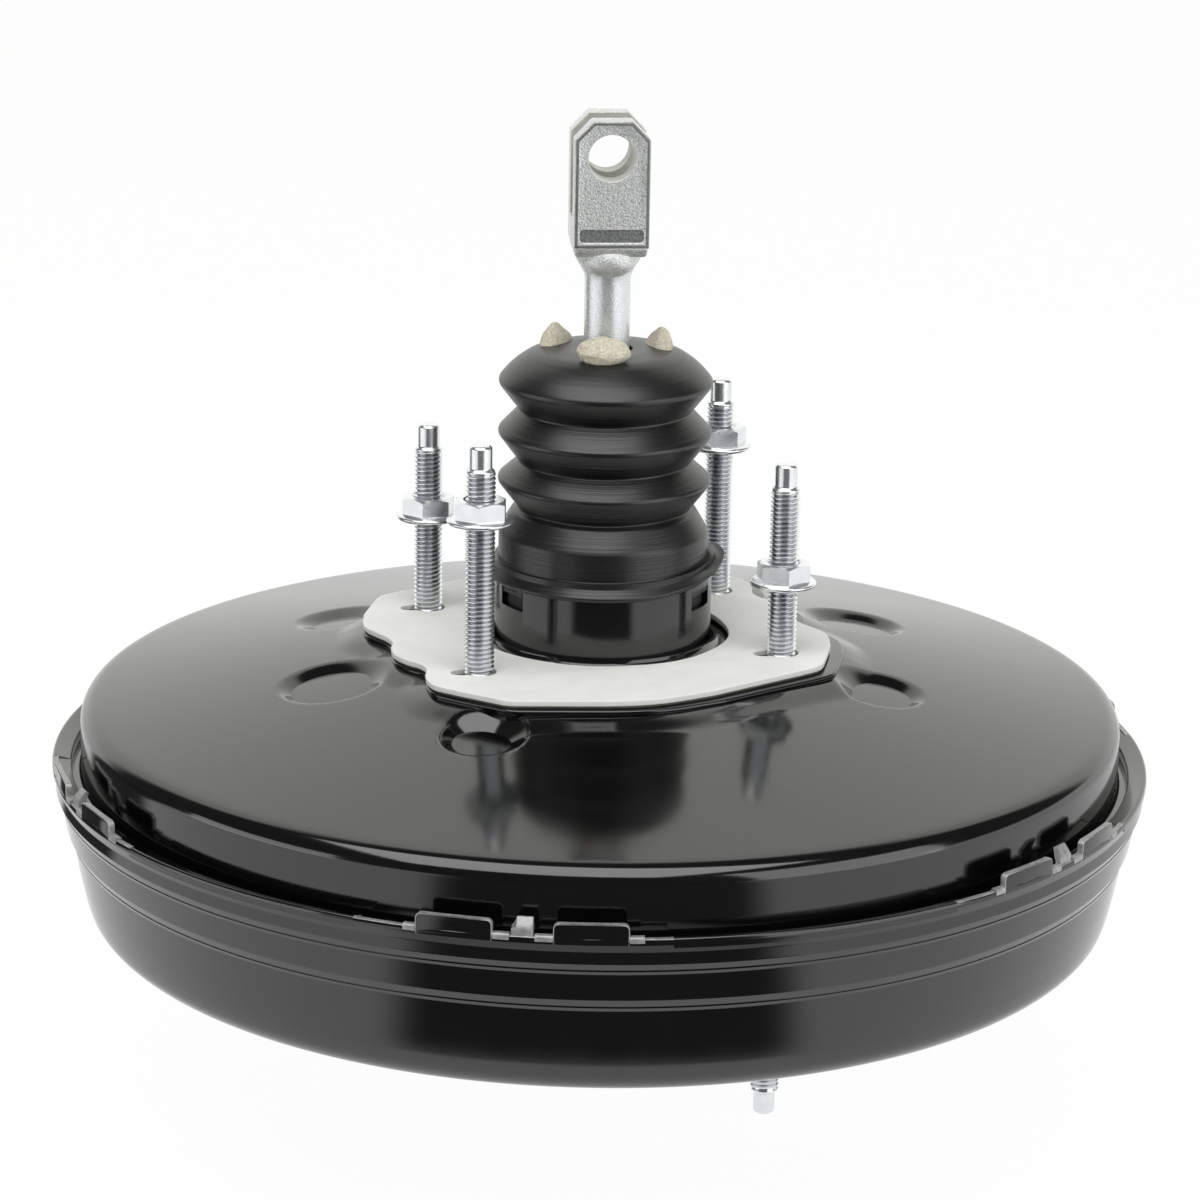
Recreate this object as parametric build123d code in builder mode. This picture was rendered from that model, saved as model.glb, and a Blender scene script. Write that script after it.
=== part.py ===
# Vacuum brake booster, 12 inch class, with clevis rod, boot, studs and flange nuts.
# Millimetres. Origin on the axis in the outer face of the mounting gasket, +Z to the pedal.
from build123d import *
import os
from math import atan2, cos, degrees, hypot, radians, sin

os.makedirs("parts", exist_ok=True)

# ---------------------------------------------------------------- driving dimensions
# joint of the two shells
rim_r = 150.0
rim_top = -33.0
fold_wide = 5.2
fold_r = rim_r - fold_wide
fold_thick = 2.0
seat_wall = 3.0
seat_r = rim_r - seat_wall
flange_top = rim_top - 4.0
bead_floor = flange_top - 7.0
fit = 0.05
gap = 0.3

# rear shell
rear_sheet = 1.8
groove_wide = 2.6
wall_r = fold_r - groove_wide
shoulder_fillet = 5.75
dome_foot = (66.0, -5.0)
dome_mid = (100.0, -10.7)
dome_edge_z = -18.8
dimple_circle = 80.0
dimple_r = 12.5
dimple_floor_r = 9.0
dimple_depth = 3.0
dimple_angles = (-36.5, 9.0, 53.5, 143.5, 189.0, 233.5)

# mounting platform, neck and gasket
gasket_thick = 2.2
gasket_hole_r = 34.5
gasket_shift = -1.9
platform_drop = 6.0
neck_r = 29.7
neck_top = 21.0
neck_bore = 27.9
neck_flare = 3.0
window_angles = (-161.0, -41.0, 79.0)
window_width = 10.3
window_low = 10.5
window_high = 15.5

# rear studs
stud_x = 41.8
stud_y = 31.05
stud_seat_r = 4.0
stud_seat = 1.5
thread_r = 3.8
dog_r = 3.0
dog_long = 6.0
collar_r = 4.95
stud_head_r = 9.0
stud_head = 3.0
short_top = 52.4
long_top = 61.5
thread_chamfer = 0.6

# flange nuts
nut_flats = 13.0
nut_height = 6.5
nut_bore = 3.85
nut_flange_r = 8.95
nut_flange_edge = 1.3
nut_cone_top = 3.2
nut_chamfer_r = 6.6

# front shell
front_sheet = 2.0
body_corner = (rim_r - 9.0, -76.1)
# beads of the wall as (inset from the rim, height), outside from below and inside from above
outer_beads = ((6.8, -62.0), (4.6, -53.0), (3.5, -50.8), (1.6, -42.9), (0.4, -40.8))
inner_beads = ((6.1, -51.0), (6.8, -53.4), (8.8, -62.0))
body_fillet = 8.5
cone_foot = (64.0, -106.0)
floor_z = -107.0
pad_long = 62.0
pad_wide = 36.0
pad_face = -115.0
pilot_r = 23.0
plate_thick = 3.0

# master cylinder studs
pad_angle = -36.0
front_stud_r = 50.7
front_stud_tip = -134.1

# locking groups on the rim
group_start = 6.7
group_count = 6
recess_half = 15.3
tab_spans = ((-9.0, -1.6), (4.1, 11.2))
tab_high = 4.5
tab_thick = 1.8
tab_inner_r = rim_r - tab_thick
hook_angle = 1.2
hook_width = 5.6

# clevis rod
pin_azimuth = 79.63
clevis_width = 20.1
clevis_thick = 22.4
clevis_slot = 8.8
clevis_low = 106.0
clevis_top = 141.8
slot_floor = 114.6
corner_wide = 4.8
corner_high = 5.0
edge_bevel = 1.2
pin_r = 6.2
pin_z = 132.1
pin_offset = 0.25
bar_low = 109.4
bar_high = 112.6
bar_deep = 0.5
shank_r = 6.15
shank_top = 100.4
ball_r = 6.0
ball_z = 2.0
rod_neck_r = 4.2

# control valve
tube_r = 20.0
tube_top = 52.0
tube_bore = 16.5
plunger_r = 7.95
head_r = 44.0
head_top = -15.2
head_low = -34.0
key_low = -11.6
key_thick = 2.5
lead_travel = 1.6
disc_r = 11.0
disc_top = -24.9
disc_low = -32.0
output_r = 5.0
output_tip = -108.0

# diaphragm and its plate
hub_r = 24.0
plate_sheet = 1.2
plate_flat_r = 62.0
plate_edge_clear = 24.2
plate_edge_r = wall_r - plate_edge_clear
plate_edge_top = -21.5
rubber = 2.0

# boot and its filter
boot_fold_r = 29.3
boot_valley_r = 23.5
boot_wall = 1.6
boot_lift = 1.9
boot_top = 79.2
petal_angles = (-103.0, 17.0, 137.0)
petal_r = 15.4
petal_half = (3.4, 7.2)
filter_low = 66.0
petal_long = 19.0

# vacuum port
port_angle = 78.0
port_r = 98.0
port_hole_r = 9.0
cone_fall = (body_corner[1] - cone_foot[1]) / (body_corner[0] - cone_foot[0])
port_slope = degrees(atan2(cone_fall, 1))
port_z = cone_foot[1] + (port_r - cone_foot[0]) * cone_fall


def radial_plane(angle):
    # upright plane through the axis, local X pointing outward at the angle
    a = radians(angle)
    return Plane(origin=(0, 0, 0), x_dir=(cos(a), sin(a), 0), z_dir=(sin(a), -cos(a), 0))


def dome_plane(angle, depth):
    # plane lying in the dome's slope at the dimple circle, sunk by depth
    a = radians(angle)
    fall = (dome_foot[1] - dome_mid[1]) / (dome_mid[0] - dome_foot[0])
    run = hypot(1, fall)
    normal = Vector(cos(a) * fall / run, sin(a) * fall / run, 1 / run)
    height = dome_foot[1] - (dimple_circle - dome_foot[0]) * fall
    spot = Vector(dimple_circle * cos(a), dimple_circle * sin(a), height)
    return Plane(origin=spot - normal * depth, z_dir=normal)


def half_turn(points):
    return [(-x, -y) for x, y in points]


# ---------------------------------------------------------------- platform outline
# one half of the outline: straight flanks, two notches and the stepped lower corners
flank_x = 60.9
notch_one = (-57.2, 1.6)
notch_two = (-53.0, -25.2)
flank = (-flank_x, 18.2)
lobe_one = [(-60.6, 10.6), (-58.8, 4.6), notch_one]
lobe_two = [notch_one, (-58.8, -6.0), (-59.4, -12.6), (-57.0, -19.4), notch_two]
lobe_three = [notch_two, (-54.2, -31.0), (-55.4, -38.6), (-53.4, -45.4), (-47.6, -54.4)]
hem = [(-47.6, -54.4), (-38.1, -61.6), (-23.2, -65.7), (-6.2, -65.8)]
skirt = [(-6.2, -65.8), (21.7, -59.3), (49.5, -48.9), (58.7, -27.4), (flank_x, -18.2)]

with BuildSketch() as outline:
    with BuildLine():
        for turn in (list, half_turn):
            Line(turn([flank, lobe_one[0]]))
            Spline(turn(lobe_one))
            Spline(turn(lobe_two))
            Spline(turn(lobe_three))
            Spline(turn(hem))
            Polyline(turn(skirt))
    make_face()

# ---------------------------------------------------------------- rear shell
with BuildPart() as dimple_tool:
    for angle in dimple_angles:
        with Locations(dome_plane(angle, dimple_depth).location):
            Cone(dimple_floor_r, dimple_r + 2, dimple_depth + 2,
                 align=(Align.CENTER, Align.CENTER, Align.MIN))

with BuildPart() as dimple_back:
    for angle in dimple_angles:
        with Locations(dome_plane(angle, dimple_depth + rear_sheet).location):
            Cone(dimple_floor_r + 1, dimple_r + 3.6, dimple_depth + 2,
                 align=(Align.CENTER, Align.CENTER, Align.MIN))

inner_wall_r = wall_r - rear_sheet
with BuildPart() as rear_cavity:
    with BuildSketch(Plane.XZ):
        with BuildLine():
            FilletPolyline(
                (0, dome_foot[1] - rear_sheet),
                (dome_foot[0], dome_foot[1] - rear_sheet),
                (dome_mid[0], dome_mid[1] - rear_sheet),
                (inner_wall_r, dome_edge_z - rear_sheet),
                (inner_wall_r, flange_top - rear_sheet),
                (0, flange_top - rear_sheet),
                radius=(0, 0, shoulder_fillet - rear_sheet, 0),
            )
            Line((0, flange_top - rear_sheet), (0, dome_foot[1] - rear_sheet))
        make_face()
    revolve(axis=Axis.Z)
    add(dimple_back.part, mode=Mode.SUBTRACT)
    with BuildSketch(Plane.XY.offset(-gasket_thick - rear_sheet)):
        add(outline.sketch)
        scale(by=1 - rear_sheet / flank_x)
    extrude(amount=-platform_drop)
    with Locations((0, 0, -gasket_thick - platform_drop)):
        Cylinder(neck_bore, neck_top + gasket_thick + platform_drop,
                 align=(Align.CENTER, Align.CENTER, Align.MIN))

with BuildPart() as rear_shell:
    with BuildSketch(Plane.XZ):
        with BuildLine():
            FilletPolyline(
                (0, dome_foot[1]),
                dome_foot,
                dome_mid,
                (wall_r, dome_edge_z),
                (wall_r, flange_top),
                (seat_r - 0.2, flange_top),
                (seat_r - 0.2, flange_top - rear_sheet),
                (0, flange_top - rear_sheet),
                radius=(0, 0, shoulder_fillet, 0, 0, 0),
            )
            Line((0, flange_top - rear_sheet), (0, dome_foot[1]))
        make_face()
    revolve(axis=Axis.Z)
    add(dimple_tool.part, mode=Mode.SUBTRACT)
    with BuildSketch(Plane.XY.offset(-gasket_thick)):
        add(outline.sketch)
    extrude(amount=-platform_drop)
    with BuildSketch(Plane.XZ):
        with BuildLine():
            FilletPolyline(
                (0, neck_top),
                (neck_r, neck_top),
                (neck_r, -gasket_thick),
                (neck_r + neck_flare + 1, -gasket_thick),
                (neck_r + neck_flare + 1, -gasket_thick - 1),
                (0, -gasket_thick - 1),
                radius=(1, neck_flare, 0, 0),
            )
            Line((0, -gasket_thick - 1), (0, neck_top))
        make_face()
    revolve(axis=Axis.Z)
    add(rear_cavity.part, mode=Mode.SUBTRACT)
    with BuildSketch(Plane.XY.offset(-gasket_thick)):
        with GridLocations(2 * stud_x, 2 * stud_y, 2, 2):
            Circle(collar_r + fit)
    extrude(amount=-platform_drop, mode=Mode.SUBTRACT)
    for angle in window_angles:
        with Locations(Location((0, 0, (window_low + window_high) / 2), (0, 0, angle))):
            with Locations((neck_r, 0, 0)):
                Box(8, window_width, window_high - window_low, mode=Mode.SUBTRACT)
rear_shell.part.label = "rear_shell"
export_step(rear_shell.part, "parts/rear_shell.step")

# ---------------------------------------------------------------- mounting gasket
with BuildPart() as mounting_gasket:
    with BuildSketch(Plane.XY.offset(-gasket_thick)):
        with Locations((gasket_shift, 0)):
            add(outline.sketch)
        Circle(gasket_hole_r, mode=Mode.SUBTRACT)
        with GridLocations(2 * stud_x, 2 * stud_y, 2, 2):
            Circle(collar_r + fit, mode=Mode.SUBTRACT)
        with Locations((-1.7, 0)):
            with GridLocations(2 * stud_x, 2 * stud_y, 2, 2):
                SlotCenterToCenter(3.4, 8.0, mode=Mode.SUBTRACT)
    extrude(amount=gasket_thick)
mounting_gasket.part.label = "mounting_gasket"
export_step(mounting_gasket.part, "parts/mounting_gasket.step")

# ---------------------------------------------------------------- rear reinforcement
rear_plate_top = -gasket_thick - rear_sheet
rear_plate = 2.5
with BuildPart() as rear_reinforcement:
    with BuildSketch(Plane.XY.offset(rear_plate_top)):
        add(outline.sketch)
        scale(by=1 - (rear_sheet + 2 * gap) / flank_x)
        Circle(neck_r + neck_flare + 1, mode=Mode.SUBTRACT)
        with GridLocations(2 * stud_x, 2 * stud_y, 2, 2):
            Circle(collar_r + fit, mode=Mode.SUBTRACT)
    extrude(amount=-rear_plate)
rear_reinforcement.part.label = "rear_reinforcement"
export_step(rear_reinforcement.part, "parts/rear_reinforcement.step")


# ---------------------------------------------------------------- studs
def press_stud(seat, head_top, tip):
    # turned stud: head, collar, seat ring, thread and dog point
    way = 1 if tip > seat else -1
    with BuildPart() as stud:
        with BuildSketch(Plane.XZ):
            with BuildLine():
                Polyline(
                    (0, head_top - way * stud_head),
                    (stud_head_r, head_top - way * stud_head),
                    (stud_head_r, head_top),
                    (collar_r, head_top),
                    (collar_r, seat),
                    (stud_seat_r, seat),
                    (stud_seat_r, seat + way * stud_seat),
                    (thread_r, seat + way * stud_seat),
                    (thread_r, tip - way * (dog_long + thread_chamfer)),
                    (dog_r, tip - way * dog_long),
                    (dog_r, tip - way * 0.4),
                    (dog_r - 0.4, tip),
                    (0, tip),
                    close=True,
                )
            make_face()
        revolve(axis=Axis.Z)
    return stud.part


rear_left = (-stud_x, stud_y)
front_left = (-stud_x, -stud_y)
front_right = (stud_x, -stud_y)
rear_right = (stud_x, stud_y)

rear_head_top = rear_plate_top - rear_plate
with BuildPart() as rear_studs_short:
    with Locations(rear_left, front_right):
        add(press_stud(0, rear_head_top, short_top))
rear_studs_short.part.label = "rear_studs_short"
export_step(rear_studs_short.part, "parts/rear_studs_short.step")

with BuildPart() as rear_studs_long:
    with Locations(front_left, rear_right):
        add(press_stud(0, rear_head_top, long_top))
rear_studs_long.part.label = "rear_studs_long"
export_step(rear_studs_long.part, "parts/rear_studs_long.step")


# ---------------------------------------------------------------- flange nuts
def flange_nut(spot, low, corner_angle):
    with BuildPart() as nut:
        with BuildSketch():
            RegularPolygon(nut_flats / 2, 6, major_radius=False, rotation=corner_angle + 30)
        extrude(amount=nut_height)
        with BuildSketch(Plane.XZ):
            with BuildLine():
                Polyline(
                    (0, 0),
                    (9, 0),
                    (9, nut_height - 1.6),
                    (nut_chamfer_r - 0.7, nut_height),
                    (0, nut_height),
                    (0, 0),
                )
            make_face()
        revolve(axis=Axis.Z, mode=Mode.INTERSECT)
        with BuildSketch(Plane.XZ):
            with BuildLine():
                Polyline(
                    (0, 0),
                    (nut_flange_r - 0.4, 0),
                    (nut_flange_r, 0.4),
                    (nut_flange_r, nut_flange_edge),
                    (nut_chamfer_r, nut_cone_top),
                    (0, nut_cone_top),
                    (0, 0),
                )
            make_face()
        revolve(axis=Axis.Z)
        with BuildSketch(Plane.XZ):
            with BuildLine():
                Polyline(
                    (0, 0),
                    (nut_bore + 0.6, 0),
                    (nut_bore, 0.6),
                    (nut_bore, nut_height - 0.6),
                    (nut_bore + 0.6, nut_height),
                    (0, nut_height),
                    (0, 0),
                )
            make_face()
        revolve(axis=Axis.Z, mode=Mode.SUBTRACT)
    return Pos(spot[0], spot[1], low) * nut.part


nut_places = {
    "flange_nut_1": (rear_left, 25.6, -115.0),
    "flange_nut_2": (front_left, 40.5, -106.0),
    "flange_nut_3": (front_right, 18.9, -96.0),
    "flange_nut_4": (rear_right, 41.6, -125.0),
}
for name, (spot, low, corner_angle) in nut_places.items():
    with BuildPart() as flange_nut_part:
        add(flange_nut(spot, low, corner_angle))
    flange_nut_part.part.label = name
    export_step(flange_nut_part.part, f"parts/{name}.step")


# ---------------------------------------------------------------- front shell
def arc_band(inner, outer, start, end, low, high):
    # piece of a ring between two azimuths
    with BuildPart() as band:
        with BuildSketch(radial_plane(start)):
            with Locations(((inner + outer) / 2, (low + high) / 2)):
                Rectangle(outer - inner, high - low)
        revolve(axis=Axis.Z, revolution_arc=end - start)
    return band.part


with BuildPart() as front_shell:
    with BuildSketch(Plane.XZ):
        with BuildLine():
            outer_path = FilletPolyline(
                (pilot_r + 1, floor_z),
                (pad_long, floor_z),
                cone_foot,
                body_corner,
                *[(rim_r - inset, height) for inset, height in outer_beads],
                (rim_r, rim_top),
                (fold_r, rim_top - fold_thick),
                (fold_r, flange_top),
                (seat_r, flange_top),
                (seat_r, bead_floor),
                (seat_r - seat_wall, bead_floor),
                *[(rim_r - inset, height) for inset, height in inner_beads],
                (body_corner[0] - front_sheet - 0.2, body_corner[1] + front_sheet - 0.6),
                (cone_foot[0] - 0.4, cone_foot[1] + front_sheet + 0.1),
                (pad_long - 0.8, floor_z + front_sheet),
                (pilot_r + 1, floor_z + front_sheet),
                radius=(0, 0, body_fillet, 0, 0, 0, 0, 0, 1.6, 0, 0, 0, 0, 0, 0, 0, 0,
                        body_fillet - front_sheet, 0, 0),
            )
            Line(outer_path @ 1, outer_path @ 0)
        make_face()
    revolve(axis=Axis.Z)
    with BuildSketch(Plane.XY.offset(floor_z + front_sheet)):
        SlotOverall(2 * pad_long, 2 * pad_wide, rotation=pad_angle)
    extrude(amount=pad_face - floor_z - front_sheet)
    with BuildSketch(Plane.XY.offset(pad_face + front_sheet)):
        SlotOverall(2 * (pad_long - front_sheet), 2 * (pad_wide - front_sheet), rotation=pad_angle)
    extrude(amount=floor_z - pad_face, mode=Mode.SUBTRACT)
    with BuildSketch(Plane.XY.offset(pad_face)):
        Circle(pilot_r)
        with PolarLocations(front_stud_r, 2, start_angle=pad_angle):
            Circle(collar_r + fit)
    extrude(amount=front_sheet, mode=Mode.SUBTRACT)
    for step in range(group_count):
        centre = group_start + 60 * step
        add(arc_band(fold_r - 1, tab_inner_r, centre - recess_half, centre + recess_half,
                     flange_top, rim_top + 1), mode=Mode.SUBTRACT)
        for start, end in tab_spans:
            add(arc_band(tab_inner_r, rim_r - fit, centre + start, centre + end,
                         rim_top - 2, rim_top + tab_high))
        with Locations(Location((0, 0, rim_top), (0, 0, centre + hook_angle))):
            with Locations((rim_r - 3.2, 0, -0.2)):
                Box(5.6, hook_width, front_sheet - 0.4)
    with Locations(Location((0, 0, 0), (0, 0, port_angle))):
        with Locations(Location((port_r, 0, port_z), (0, -port_slope, 0))):
            Cylinder(port_hole_r, 12, mode=Mode.SUBTRACT)
front_shell.part.label = "front_shell"
export_step(front_shell.part, "parts/front_shell.step")

# ---------------------------------------------------------------- front reinforcement
plate_low = pad_face + front_sheet
with BuildPart() as front_reinforcement:
    with BuildSketch(Plane.XY.offset(plate_low)):
        SlotOverall(2 * (pad_long - front_sheet - gap), 2 * (pad_wide - front_sheet - gap),
                    rotation=pad_angle)
        Circle(pilot_r, mode=Mode.SUBTRACT)
        with PolarLocations(front_stud_r, 2, start_angle=pad_angle):
            Circle(collar_r + fit, mode=Mode.SUBTRACT)
    extrude(amount=plate_thick)
front_reinforcement.part.label = "front_reinforcement"
export_step(front_reinforcement.part, "parts/front_reinforcement.step")

# ---------------------------------------------------------------- master cylinder studs
with BuildPart() as front_studs:
    with PolarLocations(front_stud_r, 2, start_angle=pad_angle):
        add(press_stud(pad_face, plate_low + plate_thick, front_stud_tip))
front_studs.part.label = "front_studs"
export_step(front_studs.part, "parts/front_studs.step")

# ---------------------------------------------------------------- clevis rod
clevis_turn = pin_azimuth - 90
clevis_frame = Plane(origin=(0, 0, 0), x_dir=(cos(radians(clevis_turn)), sin(radians(clevis_turn)), 0),
                     z_dir=(0, 0, 1))
face_plane = Plane(origin=(0, 0, 0), x_dir=clevis_frame.x_dir, z_dir=-clevis_frame.y_dir)

with BuildPart() as input_rod:
    with BuildSketch(face_plane):
        with BuildLine():
            Polyline(
                (-clevis_width / 2, clevis_low),
                (clevis_width / 2, clevis_low),
                (clevis_width / 2, clevis_top - corner_high),
                (clevis_width / 2 - corner_wide, clevis_top),
                (corner_wide - clevis_width / 2, clevis_top),
                (-clevis_width / 2, clevis_top - corner_high),
                (-clevis_width / 2, clevis_low),
            )
        make_face()
    extrude(amount=clevis_thick / 2, both=True)
    chamfer(input_rod.edges().filter_by(lambda e: e.center().Z > clevis_low + 1
                                        and abs(abs(clevis_frame.to_local_coords(e.center()).Y)
                                                - clevis_thick / 2) < 0.01), edge_bevel)
    with BuildSketch(face_plane):
        with Locations((0, (slot_floor + clevis_top) / 2 + 1)):
            Rectangle(clevis_width + 2, clevis_top - slot_floor + 2)
    extrude(amount=clevis_slot / 2, both=True, mode=Mode.SUBTRACT)
    with BuildSketch(face_plane):
        with Locations((-pin_offset, pin_z)):
            Circle(pin_r)
    extrude(amount=clevis_thick, both=True, mode=Mode.SUBTRACT)
    with BuildSketch(face_plane.offset(clevis_thick / 2)):
        with Locations((0, (bar_low + bar_high) / 2)):
            Rectangle(clevis_width - 2 * edge_bevel - 1, bar_high - bar_low)
    extrude(amount=-bar_deep, mode=Mode.SUBTRACT)
    with BuildSketch(Plane.XY.offset(shank_top)):
        Circle(shank_r)
    with BuildSketch(clevis_frame.offset(clevis_low)):
        RectangleRounded(clevis_width, clevis_thick, 3)
    loft()
    with BuildSketch(Plane.XZ):
        with BuildLine():
            top_of_ball = ball_z + (ball_r ** 2 - rod_neck_r ** 2) ** 0.5
            ThreePointArc((0, ball_z - ball_r), (ball_r, ball_z), (rod_neck_r, top_of_ball))
            Polyline(
                (rod_neck_r, top_of_ball),
                (rod_neck_r, 38.4),
                (10.4, 38.4),
                (10.4, 39.6),
                (rod_neck_r, 39.6),
                (shank_r, 56.0),
                (shank_r, shank_top),
                (0, shank_top),
                (0, ball_z - ball_r),
            )
        make_face()
    revolve(axis=Axis.Z)
input_rod.part.label = "input_rod"
export_step(input_rod.part, "parts/input_rod.step")

# ---------------------------------------------------------------- boot filter
with BuildPart() as petals:
    for angle in petal_angles:
        with BuildSketch(Plane.XY.offset(filter_low)):
            with Locations(Location((0, 0, 0), (0, 0, angle))):
                with Locations((petal_r, 0)):
                    Ellipse(*petal_half)
        extrude(amount=petal_long, taper=6)

with BuildPart() as petal_slots:
    for angle in petal_angles:
        with BuildSketch(Plane.XY.offset(filter_low + 1)):
            with Locations(Location((0, 0, 0), (0, 0, angle))):
                with Locations((petal_r, 0)):
                    Ellipse(petal_half[0] + gap, petal_half[1] + gap)
        extrude(amount=petal_long)

with BuildPart() as boot_filter:
    with BuildSketch(Plane.XY.offset(filter_low - 3)):
        Circle(19.0)
        Circle(shank_r + fit, mode=Mode.SUBTRACT)
    extrude(amount=4)
    add(petals.part)
boot_filter.part.label = "boot_filter"
export_step(boot_filter.part, "parts/boot_filter.step")

# ---------------------------------------------------------------- boot
fold_fillet = 1.2
fold_heights = (70.0, 56.1, 43.0)
valley_heights = (62.3, 48.2, 35.0)
cuff_r = 28.4
cuff_low = 16.4
lip_r = 31.4
bore_r = shank_r + fit
inner_fold_r = boot_fold_r - boot_lift
inner_valley_r = boot_valley_r - boot_wall
with BuildPart() as boot:
    with BuildSketch(Plane.XZ) as boot_section:
        with BuildLine():
            Polyline(
                (bore_r, boot_top),
                (12.0, boot_top - 0.2),
                (19.5, boot_top - 1.0),
                (25.2, boot_top - 4.6),
                (boot_fold_r, fold_heights[0]),
                (boot_valley_r, valley_heights[0]),
                (boot_fold_r, fold_heights[1]),
                (boot_valley_r, valley_heights[1]),
                (boot_fold_r, fold_heights[2]),
                (boot_valley_r, valley_heights[2]),
                (cuff_r, 30.6),
                (cuff_r + 0.2, 26.0),
                (lip_r, neck_top),
                (lip_r - 0.6, cuff_low),
                (neck_r + fit, cuff_low),
                (neck_r + fit, neck_top + fit),
                (cuff_r - boot_wall, neck_top + fit),
                (cuff_r - boot_wall, 30.0),
                (inner_valley_r, valley_heights[2] - 0.4),
                (inner_fold_r, fold_heights[2]),
                (inner_valley_r, valley_heights[1] + 0.4),
                (inner_fold_r, fold_heights[1]),
                (inner_valley_r, valley_heights[0] + 0.3),
                (boot_fold_r - boot_lift - 0.2, fold_heights[0]),
                (24.0, boot_top - 6.4),
                (19.0, boot_top - 2.9),
                (12.0, boot_top - 2.1),
                (bore_r, boot_top - 2.0),
                close=True,
            )
        make_face()
        fillet(boot_section.vertices().filter_by(lambda v: 20 < v.X < boot_fold_r + 0.1
                                                 and valley_heights[2] - 1 < v.Y < 71), fold_fillet)
    revolve(axis=Axis.Z)
    add(petal_slots.part, mode=Mode.SUBTRACT)
boot.part.label = "boot"
export_step(boot.part, "parts/boot.step")


def turned(label, *points):
    # piece of revolution from a closed half section
    with BuildPart() as piece:
        with BuildSketch(Plane.XZ):
            with BuildLine():
                Polyline(*points, close=True)
            make_face()
        revolve(axis=Axis.Z)
    piece.part.label = label
    return piece


# ---------------------------------------------------------------- neck seal and its retainer
seal_low = 4.0
seal_high = 14.0
rear_seal = turned(
    "rear_seal",
    (tube_r + fit, seal_low), (24.0, seal_low), (24.0, seal_low + 4),
    (neck_bore - fit, seal_low + 4), (neck_bore - fit, seal_high), (tube_r + fit, seal_high),
)
export_step(rear_seal.part, "parts/rear_seal.step")

retainer_high = 17.0
with BuildPart() as seal_retainer:
    with BuildSketch(Plane.XY.offset(seal_high + fit)):
        Circle(neck_bore - fit)
        Circle(tube_r + 0.8, mode=Mode.SUBTRACT)
    extrude(amount=retainer_high - seal_high)
    for angle in window_angles:
        with Locations(Location((0, 0, 0), (0, 0, angle))):
            with Locations((neck_bore - 1, 0, seal_high + fit)):
                Box(4.4, window_width - 1, window_high - seal_high - 0.3,
                    align=(Align.CENTER, Align.CENTER, Align.MIN))
seal_retainer.part.label = "seal_retainer"
export_step(seal_retainer.part, "parts/seal_retainer.step")

# ---------------------------------------------------------------- valve body
key_gap = 0.3
slot_width = 13.0
with BuildPart() as valve_body:
    with BuildSketch(Plane.XZ):
        with BuildLine():
            Polyline(
                (tube_bore, tube_top),
                (tube_r, tube_top),
                (tube_r, head_top),
                (head_r, head_top),
                (head_r, head_top - 4),
                (39.0, head_top - 6),
                (39.0, head_low),
                (29.0, head_low),
                (27.0, head_low - 2),
                (disc_r + 3, head_low - 2),
                (disc_r + fit, head_low - 2),
                (disc_r + fit, disc_top),
                (plunger_r + fit, disc_top),
                (plunger_r + fit, 3.0),
                (11.0, 3.0),
                (11.0, 5.5),
                (12.4, 5.5),
                (12.4, 3.0),
                (15.0, 3.0),
                (tube_bore, 8.0),
                close=True,
            )
        make_face()
    revolve(axis=Axis.Z)
    with Locations((-15.0, 0, key_low - key_gap)):
        Box(20, slot_width, key_thick + 2 * key_gap, align=(Align.CENTER, Align.CENTER, Align.MIN),
            mode=Mode.SUBTRACT)
valve_body.part.label = "valve_body"
export_step(valve_body.part, "parts/valve_body.step")

# ---------------------------------------------------------------- plunger and key
socket_r = ball_r + 0.08
waist_r = 5.2
plunger_low = disc_top + lead_travel + 0.5
plunger_top = 5.5
with BuildPart() as air_valve_plunger:
    with BuildSketch(Plane.XZ):
        with BuildLine():
            Polyline(
                (0, plunger_low),
                (plunger_r, plunger_low),
                (plunger_r, key_low - lead_travel - key_gap + lead_travel),
                (waist_r, key_low - lead_travel - key_gap + lead_travel),
                (waist_r, key_low + key_thick + lead_travel + key_gap),
                (plunger_r, key_low + key_thick + lead_travel + key_gap),
                (plunger_r, 3.3 + lead_travel),
                (9.6, 3.3 + lead_travel),
                (9.6, plunger_top),
                (0, plunger_top),
                close=True,
            )
        make_face()
    revolve(axis=Axis.Z)
    with Locations((0, 0, ball_z)):
        Sphere(socket_r, mode=Mode.SUBTRACT)
air_valve_plunger.part.label = "air_valve_plunger"
export_step(air_valve_plunger.part, "parts/air_valve_plunger.step")

with BuildPart() as valve_key:
    with BuildSketch(Plane.XY.offset(key_low)):
        with Locations((-13.0, 0)):
            Rectangle(22.0, slot_width - 2 * gap)
        with Locations((0, 0)):
            Circle(waist_r + gap, mode=Mode.SUBTRACT)
        with Locations((2.0, 0)):
            Rectangle(14.0, 2 * (waist_r + gap), mode=Mode.SUBTRACT)
    extrude(amount=key_thick)
valve_key.part.label = "valve_key"
export_step(valve_key.part, "parts/valve_key.step")

# ---------------------------------------------------------------- poppet, retainer, filter
poppet_valve = turned(
    "poppet_valve",
    (6.6, 5.8), (12.6, 5.8), (12.6, 8.4), (9.4, 8.4), (9.4, 12.0), (tube_bore - 2.6, 21.0),
    (tube_bore - fit, 21.0), (tube_bore - fit, 23.0), (tube_bore - 4.2, 23.0), (7.8, 12.6),
    (7.8, 8.4), (6.6, 8.4),
)
export_step(poppet_valve.part, "parts/poppet_valve.step")

poppet_retainer = turned(
    "poppet_retainer",
    (8.4, 23.05), (tube_bore - fit, 23.05), (tube_bore - fit, 25.8), (tube_bore - 1.2, 25.8),
    (tube_bore - 1.2, 24.2), (8.4, 24.2),
)
export_step(poppet_retainer.part, "parts/poppet_retainer.step")

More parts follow.
